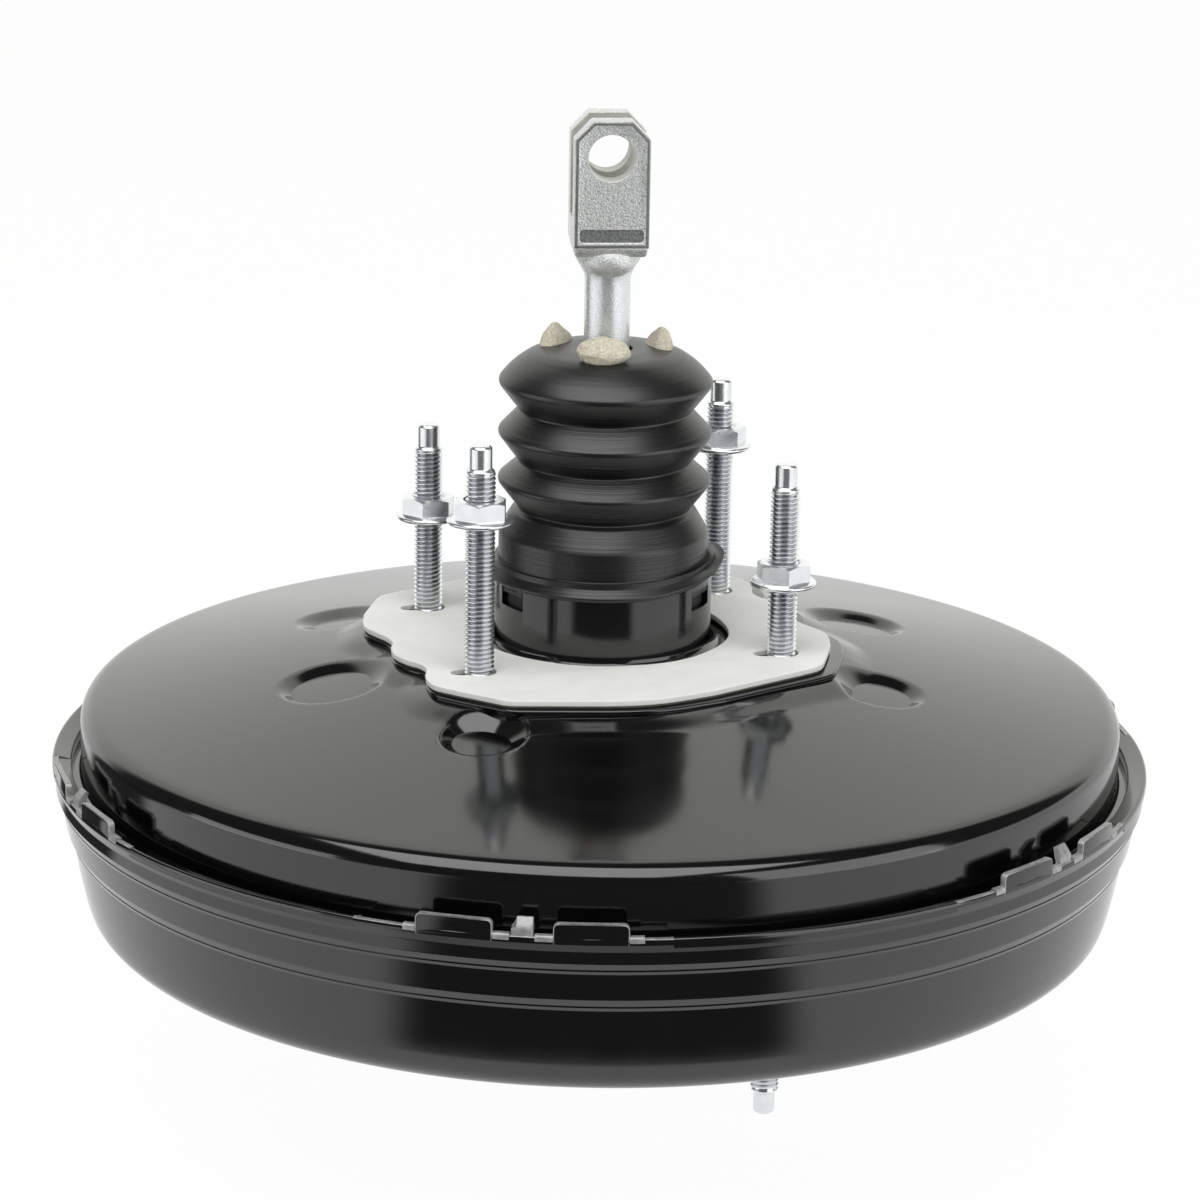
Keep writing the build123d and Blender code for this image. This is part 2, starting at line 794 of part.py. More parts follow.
air_filter = turned(
    "air_filter",
    (9.6, 41.0), (tube_bore - fit, 41.0), (tube_bore - fit, 50.0), (9.6, 50.0),
)
export_step(air_filter.part, "parts/air_filter.step")


# ---------------------------------------------------------------- springs
def coil(label, mean_r, wire_r, low, high, turns):
    with BuildPart() as spring:
        with BuildLine() as path:
            Helix(pitch=(high - low - 2 * wire_r) / turns, height=high - low - 2 * wire_r,
                  radius=mean_r, center=(0, 0, low + wire_r))
        with BuildSketch(Plane(origin=path.line @ 0, z_dir=path.line % 0)):
            RegularPolygon(wire_r, 8)
        sweep(path=path.line)
    spring.part.label = label
    return spring


poppet_spring = coil("poppet_spring", 13.9, 0.45, 3.1, 19.6, 5)
export_step(poppet_spring.part, "parts/poppet_spring.step")

rod_return_spring = coil("rod_return_spring", 9.6, 0.6, 24.2, 37.6, 5)
export_step(rod_return_spring.part, "parts/rod_return_spring.step")

return_spring = coil("return_spring", 31.0, 2.1, plate_low + plate_thick, head_low, 6)
export_step(return_spring.part, "parts/return_spring.step")

# ---------------------------------------------------------------- output side
reaction_disc = turned(
    "reaction_disc",
    (0, disc_low), (disc_r, disc_low), (disc_r, disc_top - fit), (0, disc_top - fit),
)
export_step(reaction_disc.part, "parts/reaction_disc.step")

cup_low = disc_low - 4.0
output_rod = turned(
    "output_rod",
    (0, output_tip), (output_r - 2, output_tip), (output_r, output_tip + 3), (output_r, cup_low - 3),
    (output_r + 2, cup_low), (disc_r - fit, cup_low), (disc_r - fit, disc_low - fit),
    (0, disc_low - fit),
)
export_step(output_rod.part, "parts/output_rod.step")

output_rod_retainer = turned(
    "output_rod_retainer",
    (output_r + 2.6, cup_low - 1.3), (26.0, cup_low - 1.3), (26.0, cup_low - fit),
    (output_r + 2.6, cup_low - fit),
)
export_step(output_rod_retainer.part, "parts/output_rod_retainer.step")

# ---------------------------------------------------------------- diaphragm and its plate
plate_top = head_top + plate_sheet
diaphragm_plate = turned(
    "diaphragm_plate",
    (hub_r, head_top), (plate_flat_r, head_top), (plate_edge_r - 1, plate_edge_top - plate_sheet),
    (plate_edge_r + 0.8, plate_edge_top - 5), (plate_edge_r + 2, plate_edge_top - 5),
    (plate_edge_r, plate_edge_top), (plate_flat_r, plate_top), (hub_r, plate_top),
)
export_step(diaphragm_plate.part, "parts/diaphragm_plate.step")

rubber_top = plate_top + rubber
diaphragm = turned(
    "diaphragm",
    (tube_r + fit, head_top + fit), (hub_r - fit, head_top + fit), (hub_r - fit, plate_top + fit),
    (plate_flat_r, plate_top + fit), (plate_edge_r, plate_edge_top + fit),
    (plate_edge_r + 7, plate_edge_top - 1.6), (wall_r - 6, flange_top + 1), (wall_r - 3.8, flange_top - 3.2),
    (seat_r - 2.8, bead_floor + fit), (seat_r - fit, bead_floor + fit),
    (seat_r - fit, flange_top - rear_sheet - fit), (wall_r - rubber, flange_top - rear_sheet - fit),
    (wall_r - 3.6, flange_top + 1.4), (plate_edge_r + 9, plate_edge_top + 0.6),
    (plate_edge_r + 1, plate_edge_top + rubber),
    (plate_flat_r, rubber_top), (tube_r + fit, rubber_top),
)
export_step(diaphragm.part, "parts/diaphragm.step")

# ---------------------------------------------------------------- vacuum port
# local frame on the cone: Z out through the wall
port_a = radians(port_angle)
port_t = radians(port_slope)
port_out = Vector(sin(port_t) * cos(port_a), sin(port_t) * sin(port_a), -cos(port_t))
port_frame = Plane(origin=(port_r * cos(port_a), port_r * sin(port_a), port_z),
                   x_dir=(-sin(port_a), cos(port_a), 0), z_dir=port_out)
port_section = Plane(origin=port_frame.origin, x_dir=port_frame.x_dir, z_dir=port_frame.y_dir)


def port_piece(label, *points):
    # piece of revolution about the port's own axis
    with BuildPart() as piece:
        with BuildSketch(Plane.XZ):
            with BuildLine():
                Polyline(*points, close=True)
            make_face()
        revolve(axis=Axis.Z)
    return port_frame.location * piece.part


stem_r = 6.0
with BuildPart() as valve_grommet:
    add(port_piece(
        "valve_grommet",
        (stem_r + fit, -5.0), (10.4, -5.0), (10.4, -front_sheet - fit - 0.3),
        (port_hole_r - fit - 0.3, -front_sheet - fit - 0.3), (port_hole_r - fit - 0.3, fit + 0.3),
        (12.0, fit + 0.3), (12.0, 3.0), (stem_r + fit, 3.0),
    ))
valve_grommet.part.label = "valve_grommet"
export_step(valve_grommet.part, "parts/valve_grommet.step")

nozzle_high = 11.0
nozzle_long = 34.0
with BuildPart() as vacuum_check_valve:
    add(port_piece(
        "vacuum_check_valve",
        (0, -8.0), (stem_r - 0.6, -8.0), (stem_r, -7.0), (stem_r, 3.05), (11.0, 3.05), (11.0, 5.5),
        (8.0, 7.0), (8.0, 15.5), (6.5, 17.0), (0, 17.0),
    ))
    elbow = port_frame.origin + port_out * nozzle_high
    with BuildSketch(Plane(origin=elbow, z_dir=(cos(port_a), sin(port_a), 0))):
        Circle(4.6)
    extrude(amount=nozzle_long)
    with BuildSketch(Plane(origin=elbow + Vector(cos(port_a), sin(port_a), 0) * (nozzle_long - 8),
                           z_dir=(cos(port_a), sin(port_a), 0))):
        Circle(5.6)
    extrude(amount=7, taper=9)
vacuum_check_valve.part.label = "vacuum_check_valve"
export_step(vacuum_check_valve.part, "parts/vacuum_check_valve.step")
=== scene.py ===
import bpy
import bmesh
from math import atan2, cos, hypot, pi, radians, sin
from mathutils import Matrix, Vector, kdtree, noise


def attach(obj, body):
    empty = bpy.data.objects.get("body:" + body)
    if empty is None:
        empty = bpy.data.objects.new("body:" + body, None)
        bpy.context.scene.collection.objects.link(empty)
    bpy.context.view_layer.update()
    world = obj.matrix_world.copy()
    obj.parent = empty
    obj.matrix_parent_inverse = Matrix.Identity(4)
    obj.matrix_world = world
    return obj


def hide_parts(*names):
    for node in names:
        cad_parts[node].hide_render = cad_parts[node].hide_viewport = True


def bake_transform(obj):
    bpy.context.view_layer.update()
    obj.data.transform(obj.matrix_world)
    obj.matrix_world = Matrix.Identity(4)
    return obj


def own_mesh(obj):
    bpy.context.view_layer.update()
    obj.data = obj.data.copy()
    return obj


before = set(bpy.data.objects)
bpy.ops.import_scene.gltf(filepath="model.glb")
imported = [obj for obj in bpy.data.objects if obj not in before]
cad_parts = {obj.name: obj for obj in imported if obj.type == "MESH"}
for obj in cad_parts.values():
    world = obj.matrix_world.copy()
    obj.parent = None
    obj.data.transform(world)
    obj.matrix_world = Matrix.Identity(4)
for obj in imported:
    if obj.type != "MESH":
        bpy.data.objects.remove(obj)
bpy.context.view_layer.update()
mm = 0.001
weld = 2e-6


# mesh helpers
def addObject(name, data):
    item = bpy.data.objects.new(name, data)
    bpy.context.scene.collection.objects.link(item)
    return item


def pieceFromMesh(name, mesh, materials, body, replaces, sharpAngle):
    piece = addObject(name, mesh)
    for material in materials:
        mesh.materials.append(material)
    mesh.shade_smooth()
    mesh.set_sharp_from_angle(angle=radians(sharpAngle))
    if body:
        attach(piece, body)
    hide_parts(*replaces)
    return piece


def newPiece(name, bm, materials, body, replaces, sharpAngle):
    mesh = bpy.data.meshes.new(name)
    bm.to_mesh(mesh)
    bm.free()
    return pieceFromMesh(name, mesh, materials, body, replaces, sharpAngle)


def addBevel(piece, width, angle):
    bevel = piece.modifiers.new("edgeRound", "BEVEL")
    bevel.width = width * mm
    bevel.segments = 2
    bevel.limit_method = "ANGLE"
    bevel.angle_limit = radians(angle)
    bevel.harden_normals = False


def outlineWire(bm, points, closed=True):
    # points are (radius, height, corner cut); a cut rounds that corner
    verts = [bm.verts.new((r * mm, 0, z * mm)) for r, z, cut in points]
    for a, b in zip(verts, verts[1:]):
        bm.edges.new((a, b))
    if closed:
        bm.edges.new((verts[-1], verts[0]))
    for cut in sorted({cut for r, z, cut in points if cut}):
        corners = [v for v, (r, z, c) in zip(verts, points) if c == cut]
        bmesh.ops.bevel(bm, geom=corners, offset=cut * mm, offset_type="OFFSET", segments=6,
                        profile=0.5, affect="VERTICES", material=-1)


def cleanUp(bm):
    bmesh.ops.remove_doubles(bm, verts=bm.verts, dist=weld)
    bmesh.ops.recalc_face_normals(bm, faces=bm.faces)


def placeMesh(bm, matrix):
    bmesh.ops.transform(bm, matrix=matrix, verts=bm.verts)


def scaleMesh(bm, x, y, z):
    bmesh.ops.scale(bm, vec=(x * mm, y * mm, z * mm), verts=bm.verts)


def roundEdges(bm, edges, width, segments, profile, material=-1):
    bmesh.ops.bevel(bm, geom=edges, offset=width, offset_type="OFFSET", segments=segments,
                    profile=profile, affect="EDGES", material=material)


def pullFaces(bm, x, y, z):
    # extrudes all faces by one step and gives back the new corners
    grown = bmesh.ops.extrude_face_region(bm, geom=bm.faces[:])
    verts = [item for item in grown["geom"] if isinstance(item, bmesh.types.BMVert)]
    bmesh.ops.translate(bm, vec=(x * mm, y * mm, z * mm), verts=verts)
    return verts


def paintFaces(bm, index):
    for face in bm.faces:
        face.material_index = index


def turn(points, steps=128, start=0.0, sweep=360.0, closed=True):
    # an outline of (radius, height, corner cut) turned about the axis, all the way or in part
    bm = bmesh.new()
    outlineWire(bm, points, closed)
    if start:
        bmesh.ops.rotate(bm, verts=bm.verts, cent=(0, 0, 0), matrix=Matrix.Rotation(radians(start), 3, "Z"))
    full = abs(sweep - 360) < 1e-6
    bmesh.ops.spin(bm, geom=bm.verts[:] + bm.edges[:], cent=(0, 0, 0), axis=(0, 0, 1), dvec=(0, 0, 0),
                   angle=radians(sweep), steps=steps, use_merge=full, use_duplicate=False)
    bmesh.ops.remove_doubles(bm, verts=bm.verts, dist=weld)
    if not full:
        bmesh.ops.holes_fill(bm, edges=[e for e in bm.edges if e.is_boundary], sides=0)
    bmesh.ops.recalc_face_normals(bm, faces=bm.faces)
    return bm


def joinInto(target, other, matrix=Matrix.Identity(4)):
    mesh = bpy.data.meshes.new("joining")
    other.to_mesh(mesh)
    other.free()
    mesh.transform(matrix)
    target.from_mesh(mesh)
    bpy.data.meshes.remove(mesh)


def finishedMesh(item):
    # the mesh an object has after its modifiers or curve settings
    bpy.context.view_layer.update()
    return bpy.data.meshes.new_from_object(item.evaluated_get(bpy.context.evaluated_depsgraph_get()))


def meshFromCurve(curve):
    item = addObject(curve.name, curve)
    mesh = finishedMesh(item)
    bpy.data.objects.remove(item)
    bpy.data.curves.remove(curve)
    return mesh


def carve(bm, cutters, operation="DIFFERENCE"):
    # takes the cutters out of a closed mesh and gives back the result
    def loose(source, name):
        mesh = bpy.data.meshes.new(name)
        source.to_mesh(mesh)
        source.free()
        return addObject(name, mesh)
    base = loose(bm, "carveBase")
    tools = [loose(cutter, "carveTool") for cutter in cutters]
    for tool in tools:
        step = base.modifiers.new("carve", "BOOLEAN")
        step.operation = operation
        step.solver = "EXACT"
        step.object = tool
    shaped = finishedMesh(base)
    result = bmesh.new()
    result.from_mesh(shaped)
    bpy.data.meshes.remove(shaped)
    for item in [base] + tools:
        mesh = item.data
        bpy.data.objects.remove(item)
        bpy.data.meshes.remove(mesh)
    return result


def block(sizeX, sizeY, sizeZ, place):
    bm = bmesh.new()
    bmesh.ops.create_cube(bm, size=1.0)
    scaleMesh(bm, sizeX, sizeY, sizeZ)
    placeMesh(bm, place)
    return bm


def turnAbout(angle):
    return Matrix.Rotation(radians(angle), 4, "Z")


def move(x, y, z):
    return Matrix.Translation((x * mm, y * mm, z * mm))


# shader helpers
def addNode(tree, kind, values=None, **settings):
    # a node with its settings and the values of its inputs
    node = tree.nodes.new(kind)
    for name, setting in settings.items():
        setattr(node, name, setting)
    for name, value in (values or {}).items():
        node.inputs[name].default_value = value
    return node


def wire(tree, *wires):
    # each wire names a node and its output, then a node and its input
    for source, output, target, entry in wires:
        tree.links.new(source.outputs[output], target.inputs[entry])


def makeGroup(name, inputs, outputs):
    group = bpy.data.node_groups.new(name, "ShaderNodeTree")
    for label, value in inputs.items():
        socket = group.interface.new_socket(name=label, in_out="INPUT", socket_type="NodeSocketFloat")
        socket.default_value = value
    for label in outputs:
        group.interface.new_socket(name=label, in_out="OUTPUT", socket_type="NodeSocketFloat")
    return group, group.nodes.new("NodeGroupInput"), group.nodes.new("NodeGroupOutput")


def grainGroup():
    # two sizes of noise, as a height and as a mask for colour and roughness
    group, entry, leave = makeGroup(
        "surfaceGrain", {"Coarse Scale": 200.0, "Fine Scale": 1500.0, "Fine Share": 0.5}, ["Height", "Mask"])
    place = addNode(group, "ShaderNodeTexCoord")
    coarse = addNode(group, "ShaderNodeTexNoise", {"Detail": 4.0})
    fine = addNode(group, "ShaderNodeTexNoise", {"Detail": 2.0})
    blend = addNode(group, "ShaderNodeMix", data_type="FLOAT")
    wire(group,
         (place, "Object", coarse, "Vector"), (place, "Object", fine, "Vector"),
         (entry, "Coarse Scale", coarse, "Scale"), (entry, "Fine Scale", fine, "Scale"),
         (entry, "Fine Share", blend, "Factor"), (coarse, "Fac", blend, "A"), (fine, "Fac", blend, "B"),
         (blend, "Result", leave, "Height"), (coarse, "Fac", leave, "Mask"))
    return group


def paintedEdgeHighlightGroup():
    # painted highlight: colour made bright where two faces meet, found from the bevelled normal
    group, entry, leave = makeGroup("paintedEdgeHighlight", {"Radius": 0.0005, "Low": 0.02, "High": 0.12}, ["Mask"])
    surface = addNode(group, "ShaderNodeNewGeometry")
    rounded = addNode(group, "ShaderNodeBevel", samples=6)
    angle = addNode(group, "ShaderNodeVectorMath", operation="DOT_PRODUCT")
    flip = addNode(group, "ShaderNodeMath", {0: 1.0}, operation="SUBTRACT")
    span = addNode(group, "ShaderNodeMapRange")
    wire(group,
         (entry, "Radius", rounded, "Radius"), (rounded, "Normal", angle, 0), (surface, "Normal", angle, 1),
         (angle, "Value", flip, 1), (flip, "Value", span, "Value"), (entry, "Low", span, "From Min"),
         (entry, "High", span, "From Max"), (span, "Result", leave, "Mask"))
    return group


grain = grainGroup()
paintedEdgeHighlight = paintedEdgeHighlightGroup()


def principled(name, **values):
    material = bpy.data.materials.new(name)
    material.use_nodes = True
    tree = material.node_tree
    shader = tree.nodes["Principled BSDF"]
    for label, value in values.items():
        shader.inputs[label].default_value = value
    return material, tree, shader


def grainedMaterial(name, dark, light, scales, rough, bump, depth=0.0002, share=0.5, spread=0.5,
                    metallic=0.0, ior=1.5, paintedEdgeGlint=None):
    # scales are those of the coarse and the fine grain; the last argument is a colour and a radius for edges
    # painted bright as a highlight
    material, tree, shader = principled(name, Metallic=metallic, IOR=ior)
    coarse, fine = scales
    texture = addNode(tree, "ShaderNodeGroup",
                      {"Coarse Scale": coarse, "Fine Scale": fine, "Fine Share": share}, node_tree=grain)
    tone = addNode(tree, "ShaderNodeMapRange", {"From Min": 0.5 - spread, "From Max": 0.5 + spread})
    tint = addNode(tree, "ShaderNodeMix", {"A": dark, "B": light}, data_type="RGBA")
    gloss = addNode(tree, "ShaderNodeMapRange",
                    {"From Min": 0.3, "From Max": 0.7, "To Min": rough[0], "To Max": rough[1]})
    relief = addNode(tree, "ShaderNodeBump", {"Strength": bump, "Distance": depth})
    wire(tree,
         (texture, "Mask", tone, "Value"), (tone, "Result", tint, "Factor"),
         (texture, "Mask", gloss, "Value"), (gloss, "Result", shader, "Roughness"),
         (texture, "Height", relief, "Height"), (relief, "Normal", shader, "Normal"))
    # edges lifted towards a bright colour as a painted highlight
    if paintedEdgeGlint:
        glintMask = addNode(tree, "ShaderNodeGroup", {"Radius": paintedEdgeGlint[1]}, node_tree=paintedEdgeHighlight)
        lift = addNode(tree, "ShaderNodeMix", {"B": paintedEdgeGlint[0]}, data_type="RGBA")
        wire(tree, (glintMask, "Mask", lift, "Factor"), (tint, "Result", lift, "A"))
        tint = lift
    wire(tree, (tint, "Result", shader, "Base Color"))
    return material


def grey(value):
    return (value, value, value, 1.0)


blackPaint = grainedMaterial(
    "blackPaint", (0.0022, 0.0022, 0.0023, 1), (0.0034, 0.0034, 0.0034, 1), scales=(60.0, 900.0),
    rough=(0.09, 0.13), bump=0.03, share=0.25, ior=1.7)
# bare cut steel for the shell's cut edges; on the tabs' rims it also serves as a painted highlight
bareSteelAndGlint = grainedMaterial(
    "bareSteelAndHighlight", grey(0.16), grey(0.62), scales=(700.0, 2600.0), rough=(0.32, 0.55), bump=0.8,
    depth=0.0003, share=0.6, metallic=0.55)
brightZinc = grainedMaterial(
    "brightZinc", (0.72, 0.74, 0.76, 1), (0.92, 0.93, 0.94, 1), scales=(350.0, 2200.0), rough=(0.16, 0.28),
    bump=0.12, share=0.4, metallic=0.88)
# zinc painted darker as shade for the roots of the thread
shadedRootZinc = grainedMaterial(
    "threadRootShade", (0.30, 0.315, 0.33, 1), (0.45, 0.47, 0.49, 1), scales=(350.0, 2200.0), rough=(0.25, 0.4),
    bump=0.1, share=0.4, metallic=1.0)
# forged zinc whose edges carry a painted highlight
forgedZinc = grainedMaterial(
    "forgedZinc", (0.48, 0.495, 0.49, 1), (0.95, 0.96, 0.95, 1), scales=(1900.0, 3000.0),
    rough=(0.24, 0.38), bump=0.7, depth=0.0005, share=0.4, spread=0.32, metallic=0.62,
    paintedEdgeGlint=(grey(0.95), 0.0004))
# dark colour for the step of the cheeks' border, a painted line of shade
paintedShadeLine = grainedMaterial(
    "paintedShadeLine", (0.14, 0.145, 0.14, 1), (0.30, 0.31, 0.30, 1), scales=(900.0, 1900.0), rough=(0.35, 0.5),
    bump=0.4, depth=0.0004, share=0.4, metallic=0.5)
shankZinc = grainedMaterial(
    "shankZinc", (0.66, 0.68, 0.69, 1), (0.92, 0.94, 0.95, 1), scales=(1500.0, 3000.0), rough=(0.2, 0.3),
    bump=0.3, depth=0.0003, spread=0.45, metallic=0.6)
clevisBore = grainedMaterial(
    "clevisBore", (0.44, 0.45, 0.40, 1), (0.58, 0.59, 0.53, 1), scales=(500.0, 1900.0), rough=(0.35, 0.5),
    bump=0.25, depth=0.0003, metallic=0.3)
# dark colour for the floor of the bar sunk across the front cheek, painted shade
paintedShadeBar = grainedMaterial(
    "paintedShadeBar", (0.08, 0.085, 0.085, 1), (0.32, 0.335, 0.33, 1), scales=(1500.0, 2600.0),
    rough=(0.35, 0.5), bump=0.8, depth=0.0006, spread=0.3, metallic=0.5)
gasketBoard = grainedMaterial(
    "gasketBoard", (0.78, 0.785, 0.755, 1), (0.89, 0.895, 0.87, 1), scales=(140.0, 1800.0),
    rough=(0.72, 0.9), bump=0.25, depth=0.0003, share=0.6)
# dark colour for the gasket's lower layer, the painted shadow under the gasket's edge
gasketUnderShade = grainedMaterial(
    "gasketUnderShade", (0.16, 0.16, 0.14, 1), (0.24, 0.24, 0.21, 1), scales=(140.0, 1800.0), rough=(0.8, 0.95),
    bump=0.25, depth=0.0003, share=0.6)
foam = grainedMaterial(
    "creamFoam", (0.50, 0.45, 0.33, 1), (0.93, 0.87, 0.73, 1), scales=(1400.0, 2800.0), rough=(0.85, 1.0),
    bump=0.9, depth=0.0008, spread=0.3)
plainSteel = grainedMaterial(
    "plainSteel", grey(0.32), grey(0.5), scales=(120.0, 1200.0), rough=(0.3, 0.45), bump=0.1, metallic=1.0)
springSteel = grainedMaterial(
    "springSteel", grey(0.10), grey(0.2), scales=(120.0, 1200.0), rough=(0.3, 0.5), bump=0.1, metallic=1.0)
softRubber = grainedMaterial(
    "softRubber", grey(0.010), grey(0.016), scales=(90.0, 1600.0), rough=(0.5, 0.62), bump=0.15, depth=0.0003)
blackPlastic = grainedMaterial(
    "blackPlastic", grey(0.012), grey(0.02), scales=(200.0, 2500.0), rough=(0.35, 0.45), bump=0.1)


def bootMaterial(settings):
    # matt black moulding with fine rings left by the turned tool
    material, tree, shader = principled("bootRubber", IOR=settings["ior"])
    place = addNode(tree, "ShaderNodeTexCoord")
    split = addNode(tree, "ShaderNodeSeparateXYZ")
    rings = addNode(tree, "ShaderNodeMath", {1: settings["ringsPerMetre"]}, operation="MULTIPLY")
    line = addNode(tree, "ShaderNodeTexNoise", noise_dimensions="1D")
    line.inputs["Scale"].default_value = 1.0
    line.inputs["Detail"].default_value = 3.0
    texture = addNode(tree, "ShaderNodeGroup", {"Coarse Scale": 60.0, "Fine Scale": 1500.0}, node_tree=grain)
    total = addNode(tree, "ShaderNodeMix", {"Factor": settings["ringShare"]}, data_type="FLOAT")
    tint = addNode(tree, "ShaderNodeMix", {"A": settings["dark"], "B": settings["light"]}, data_type="RGBA")
    smooth, rough = settings["rough"]
    gloss = addNode(tree, "ShaderNodeMapRange", {"To Min": smooth, "To Max": rough})
    relief = addNode(tree, "ShaderNodeBump", {"Strength": settings["bump"], "Distance": settings["depth"]})
    wire(tree,
         (place, "Object", split, "Vector"), (split, "Z", rings, 0), (rings, "Value", line, "W"),
         (texture, "Height", total, "A"), (line, "Fac", total, "B"), (total, "Result", tint, "Factor"),
         (tint, "Result", shader, "Base Color"), (total, "Result", gloss, "Value"),
         (gloss, "Result", shader, "Roughness"), (total, "Result", relief, "Height"),
         (relief, "Normal", shader, "Normal"))
    return material


bootRubber = bootMaterial({
    "ringsPerMetre": 1400.0, "ringShare": 0.7, "dark": grey(0.002), "light": grey(0.008),
    "rough": (0.30, 0.42), "bump": 0.35, "depth": 0.0003, "ior": 1.62})
print("materials ready")

# platform outline shared by the shell's platform and the gasket (x, y, smooth)
halfOutline = [
    (-60.8, 19.5, True), (-60.8, 14.5, True), (-59.2, 9.9, True), (-57.3, 5.0, True), (-56.7, -0.5, True),
    (-58.2, -5.4, True), (-58.5, -11.6, True), (-56.4, -17.3, True), (-53.8, -21.5, True),
    (-53.1, -26.2, True), (-54.8, -33.0, True), (-54.4, -40.1, True), (-50.1, -45.9, True),
    (-44.2, -52.3, False), (-39.6, -57.2, False), (-37.6, -58.3, False), (-13.9, -63.6, False),
    (-5.0, -64.6, True), (3.5, -63.9, True), (15.9, -60.5, False), (44.6, -47.9, False),
    (49.0, -45.6, True), (52.0, -42.4, True), (58.8, -27.6, False),
]


def smoothLoop(points, spacing=0.8):
    # evenly spaced points on a closed line that bends softly through the smooth ones
    loop = []
    count = len(points)
    for k in range(count):
        before, here, after, beyond = (Vector(points[(k + j) % count][:2]) for j in (-1, 0, 1, 2))
        chord = after - here
        leave = (after - before) / 2 if points[k][2] else chord
        arrive = (beyond - here) / 2 if points[(k + 1) % count][2] else chord
        cuts = max(int(chord.length / spacing), 1)
        for cut in range(cuts):
            t = cut / cuts
            loop.append(here * (2 * t ** 3 - 3 * t * t + 1) + leave * (t ** 3 - 2 * t * t + t)
                        + after * (3 * t * t - 2 * t ** 3) + arrive * (t ** 3 - t * t))
    return loop


outlineLoop = smoothLoop(halfOutline + [(-x, -y, smooth) for x, y, smooth in halfOutline])
outlineTree = kdtree.KDTree(len(outlineLoop))
for index, point in enumerate(outlineLoop):
    outlineTree.insert((point.x, point.y, 0), index)
outlineTree.balance()
platformOutline = [(point.x, point.y, "VECTOR") for point in outlineLoop]


def beyondOutline(x, y):
    # distance outside the outline, below zero inside it
    nearest, index, distance = outlineTree.find((x, y, 0))
    return distance if hypot(x, y) > hypot(nearest.x, nearest.y) else -distance


def softRamp(value):
    value = min(max(value, 0.0), 1.0)
    return value * value * (3 - 2 * value)


def circlePoints(x, y, radius, count=8):
    return [(x + radius * cos(2 * pi * k / count), y + radius * sin(2 * pi * k / count), "AUTO")
            for k in range(count)]


def flatPlate(outline, holes, low, high, roundEdge=0.0, shift=(0, 0), inset=0.0):
    # flat plate from a closed outline with holes, standing between two heights
    curve = bpy.data.curves.new("plateOutline", "CURVE")
    curve.dimensions = "2D"
    curve.fill_mode = "BOTH"
    curve.resolution_u = 10
    curve.extrude = ((high - low) / 2 - roundEdge) * mm
    curve.bevel_depth = roundEdge * mm
    curve.bevel_resolution = 4
    curve.offset = -(roundEdge + inset) * mm
    moved = [(x + shift[0], y + shift[1], kind) for x, y, kind in outline]
    for path in [moved] + holes:
        spline = curve.splines.new("BEZIER")
        spline.bezier_points.add(len(path) - 1)
        spline.use_cyclic_u = True
        for point, (x, y, kind) in zip(spline.bezier_points, path):
            point.co = (x * mm, y * mm, 0)
            point.handle_left_type = kind
            point.handle_right_type = kind
    mesh = meshFromCurve(curve)
    bm = bmesh.new()
    bm.from_mesh(mesh)
    bpy.data.meshes.remove(mesh)
    bmesh.ops.translate(bm, vec=(0, 0, (low + high) / 2 * mm), verts=bm.verts)
    cleanUp(bm)
    return bm


# rear shell: neck, platform, dome with six dimples, shoulder and flange
# a dimple is its angle, distance from the middle, radius and depth
rearShell = {
    "platformTop": -2.2, "platformGrow": 1.9, "platformRound": 0.6, "seatFoot": -3.4,
    "rampShare": 0.6, "rampReach": 10.0, "domeStart": 49.3, "domeSlope": 0.160, "domeCurve": 0.0002,
    "windowAngles": (-161.0, -41.0, 79.0), "windowWidth": 10.3, "windowLow": 10.5, "windowHigh": 15.5,
    "dimples": ((-35.4, 79.4, 12.8, 4.7), (12.6, 80.6, 14.4, 5.6), (53.5, 80.0, 12.8, 4.0),
                (141.2, 80.4, 13.2, 3.2), (187.4, 77.6, 15.2, 5.6), (232.4, 79.0, 11.8, 4.6)),
}


def domeHeight(radius):
    out = max(radius - rearShell["domeStart"], 0.0)
    return rearShell["platformTop"] - rearShell["domeSlope"] * out - rearShell["domeCurve"] * out * out


domeRadii = [44.0 + 0.8 * k for k in range(66)] + [100.0 + 4.0 * k for k in range(10)]
domeProfile = [(33.9, -2.2, 0)] + [(radius, domeHeight(radius), 0) for radius in domeRadii] + [
    (142.2, -18.8, 4.2), (142.2, -37.0, 0.9), (146.8, -37.0, 0.2), (146.8, -38.8, 0.2), (140.4, -38.8, 0),
    (140.4, -20.4, 3.0), (100.0, -12.6, 0), (66.0, -6.9, 0), (49.3, -4.0, 0), (33.9, -4.0, 0),
]
dome = turn(domeProfile, steps=480)
for vert in dome.verts:
    x, y, z = vert.co / mm
    radius = hypot(x, y)
    if not 43 < radius < 97 or abs(z - domeHeight(radius)) > 0.1:
        continue
    ramp = softRamp(1 - beyondOutline(x, y) / rearShell["rampReach"])
    z += (rearShell["platformTop"] - z) * rearShell["rampShare"] * ramp
    for angle, circle, size, depth in rearShell["dimples"]:
        away = hypot(x - circle * cos(radians(angle)), y - circle * sin(radians(angle))) / size
        if away < 1:
            z -= depth * (1 - away * away) ** 1.4
    vert.co.z = z * mm

# the raised seat under the gasket
seat = flatPlate(platformOutline, [circlePoints(0, 0, 40.0)], rearShell["seatFoot"],
                 rearShell["platformTop"] + 0.02, roundEdge=rearShell["platformRound"],
                 inset=-rearShell["platformGrow"])
for vert in seat.verts:
    if vert.co.z < (rearShell["seatFoot"] + 0.1) * mm:
        vert.co.z = (domeHeight(hypot(vert.co.x, vert.co.y) / mm) - 0.9) * mm
joinInto(dome, seat)

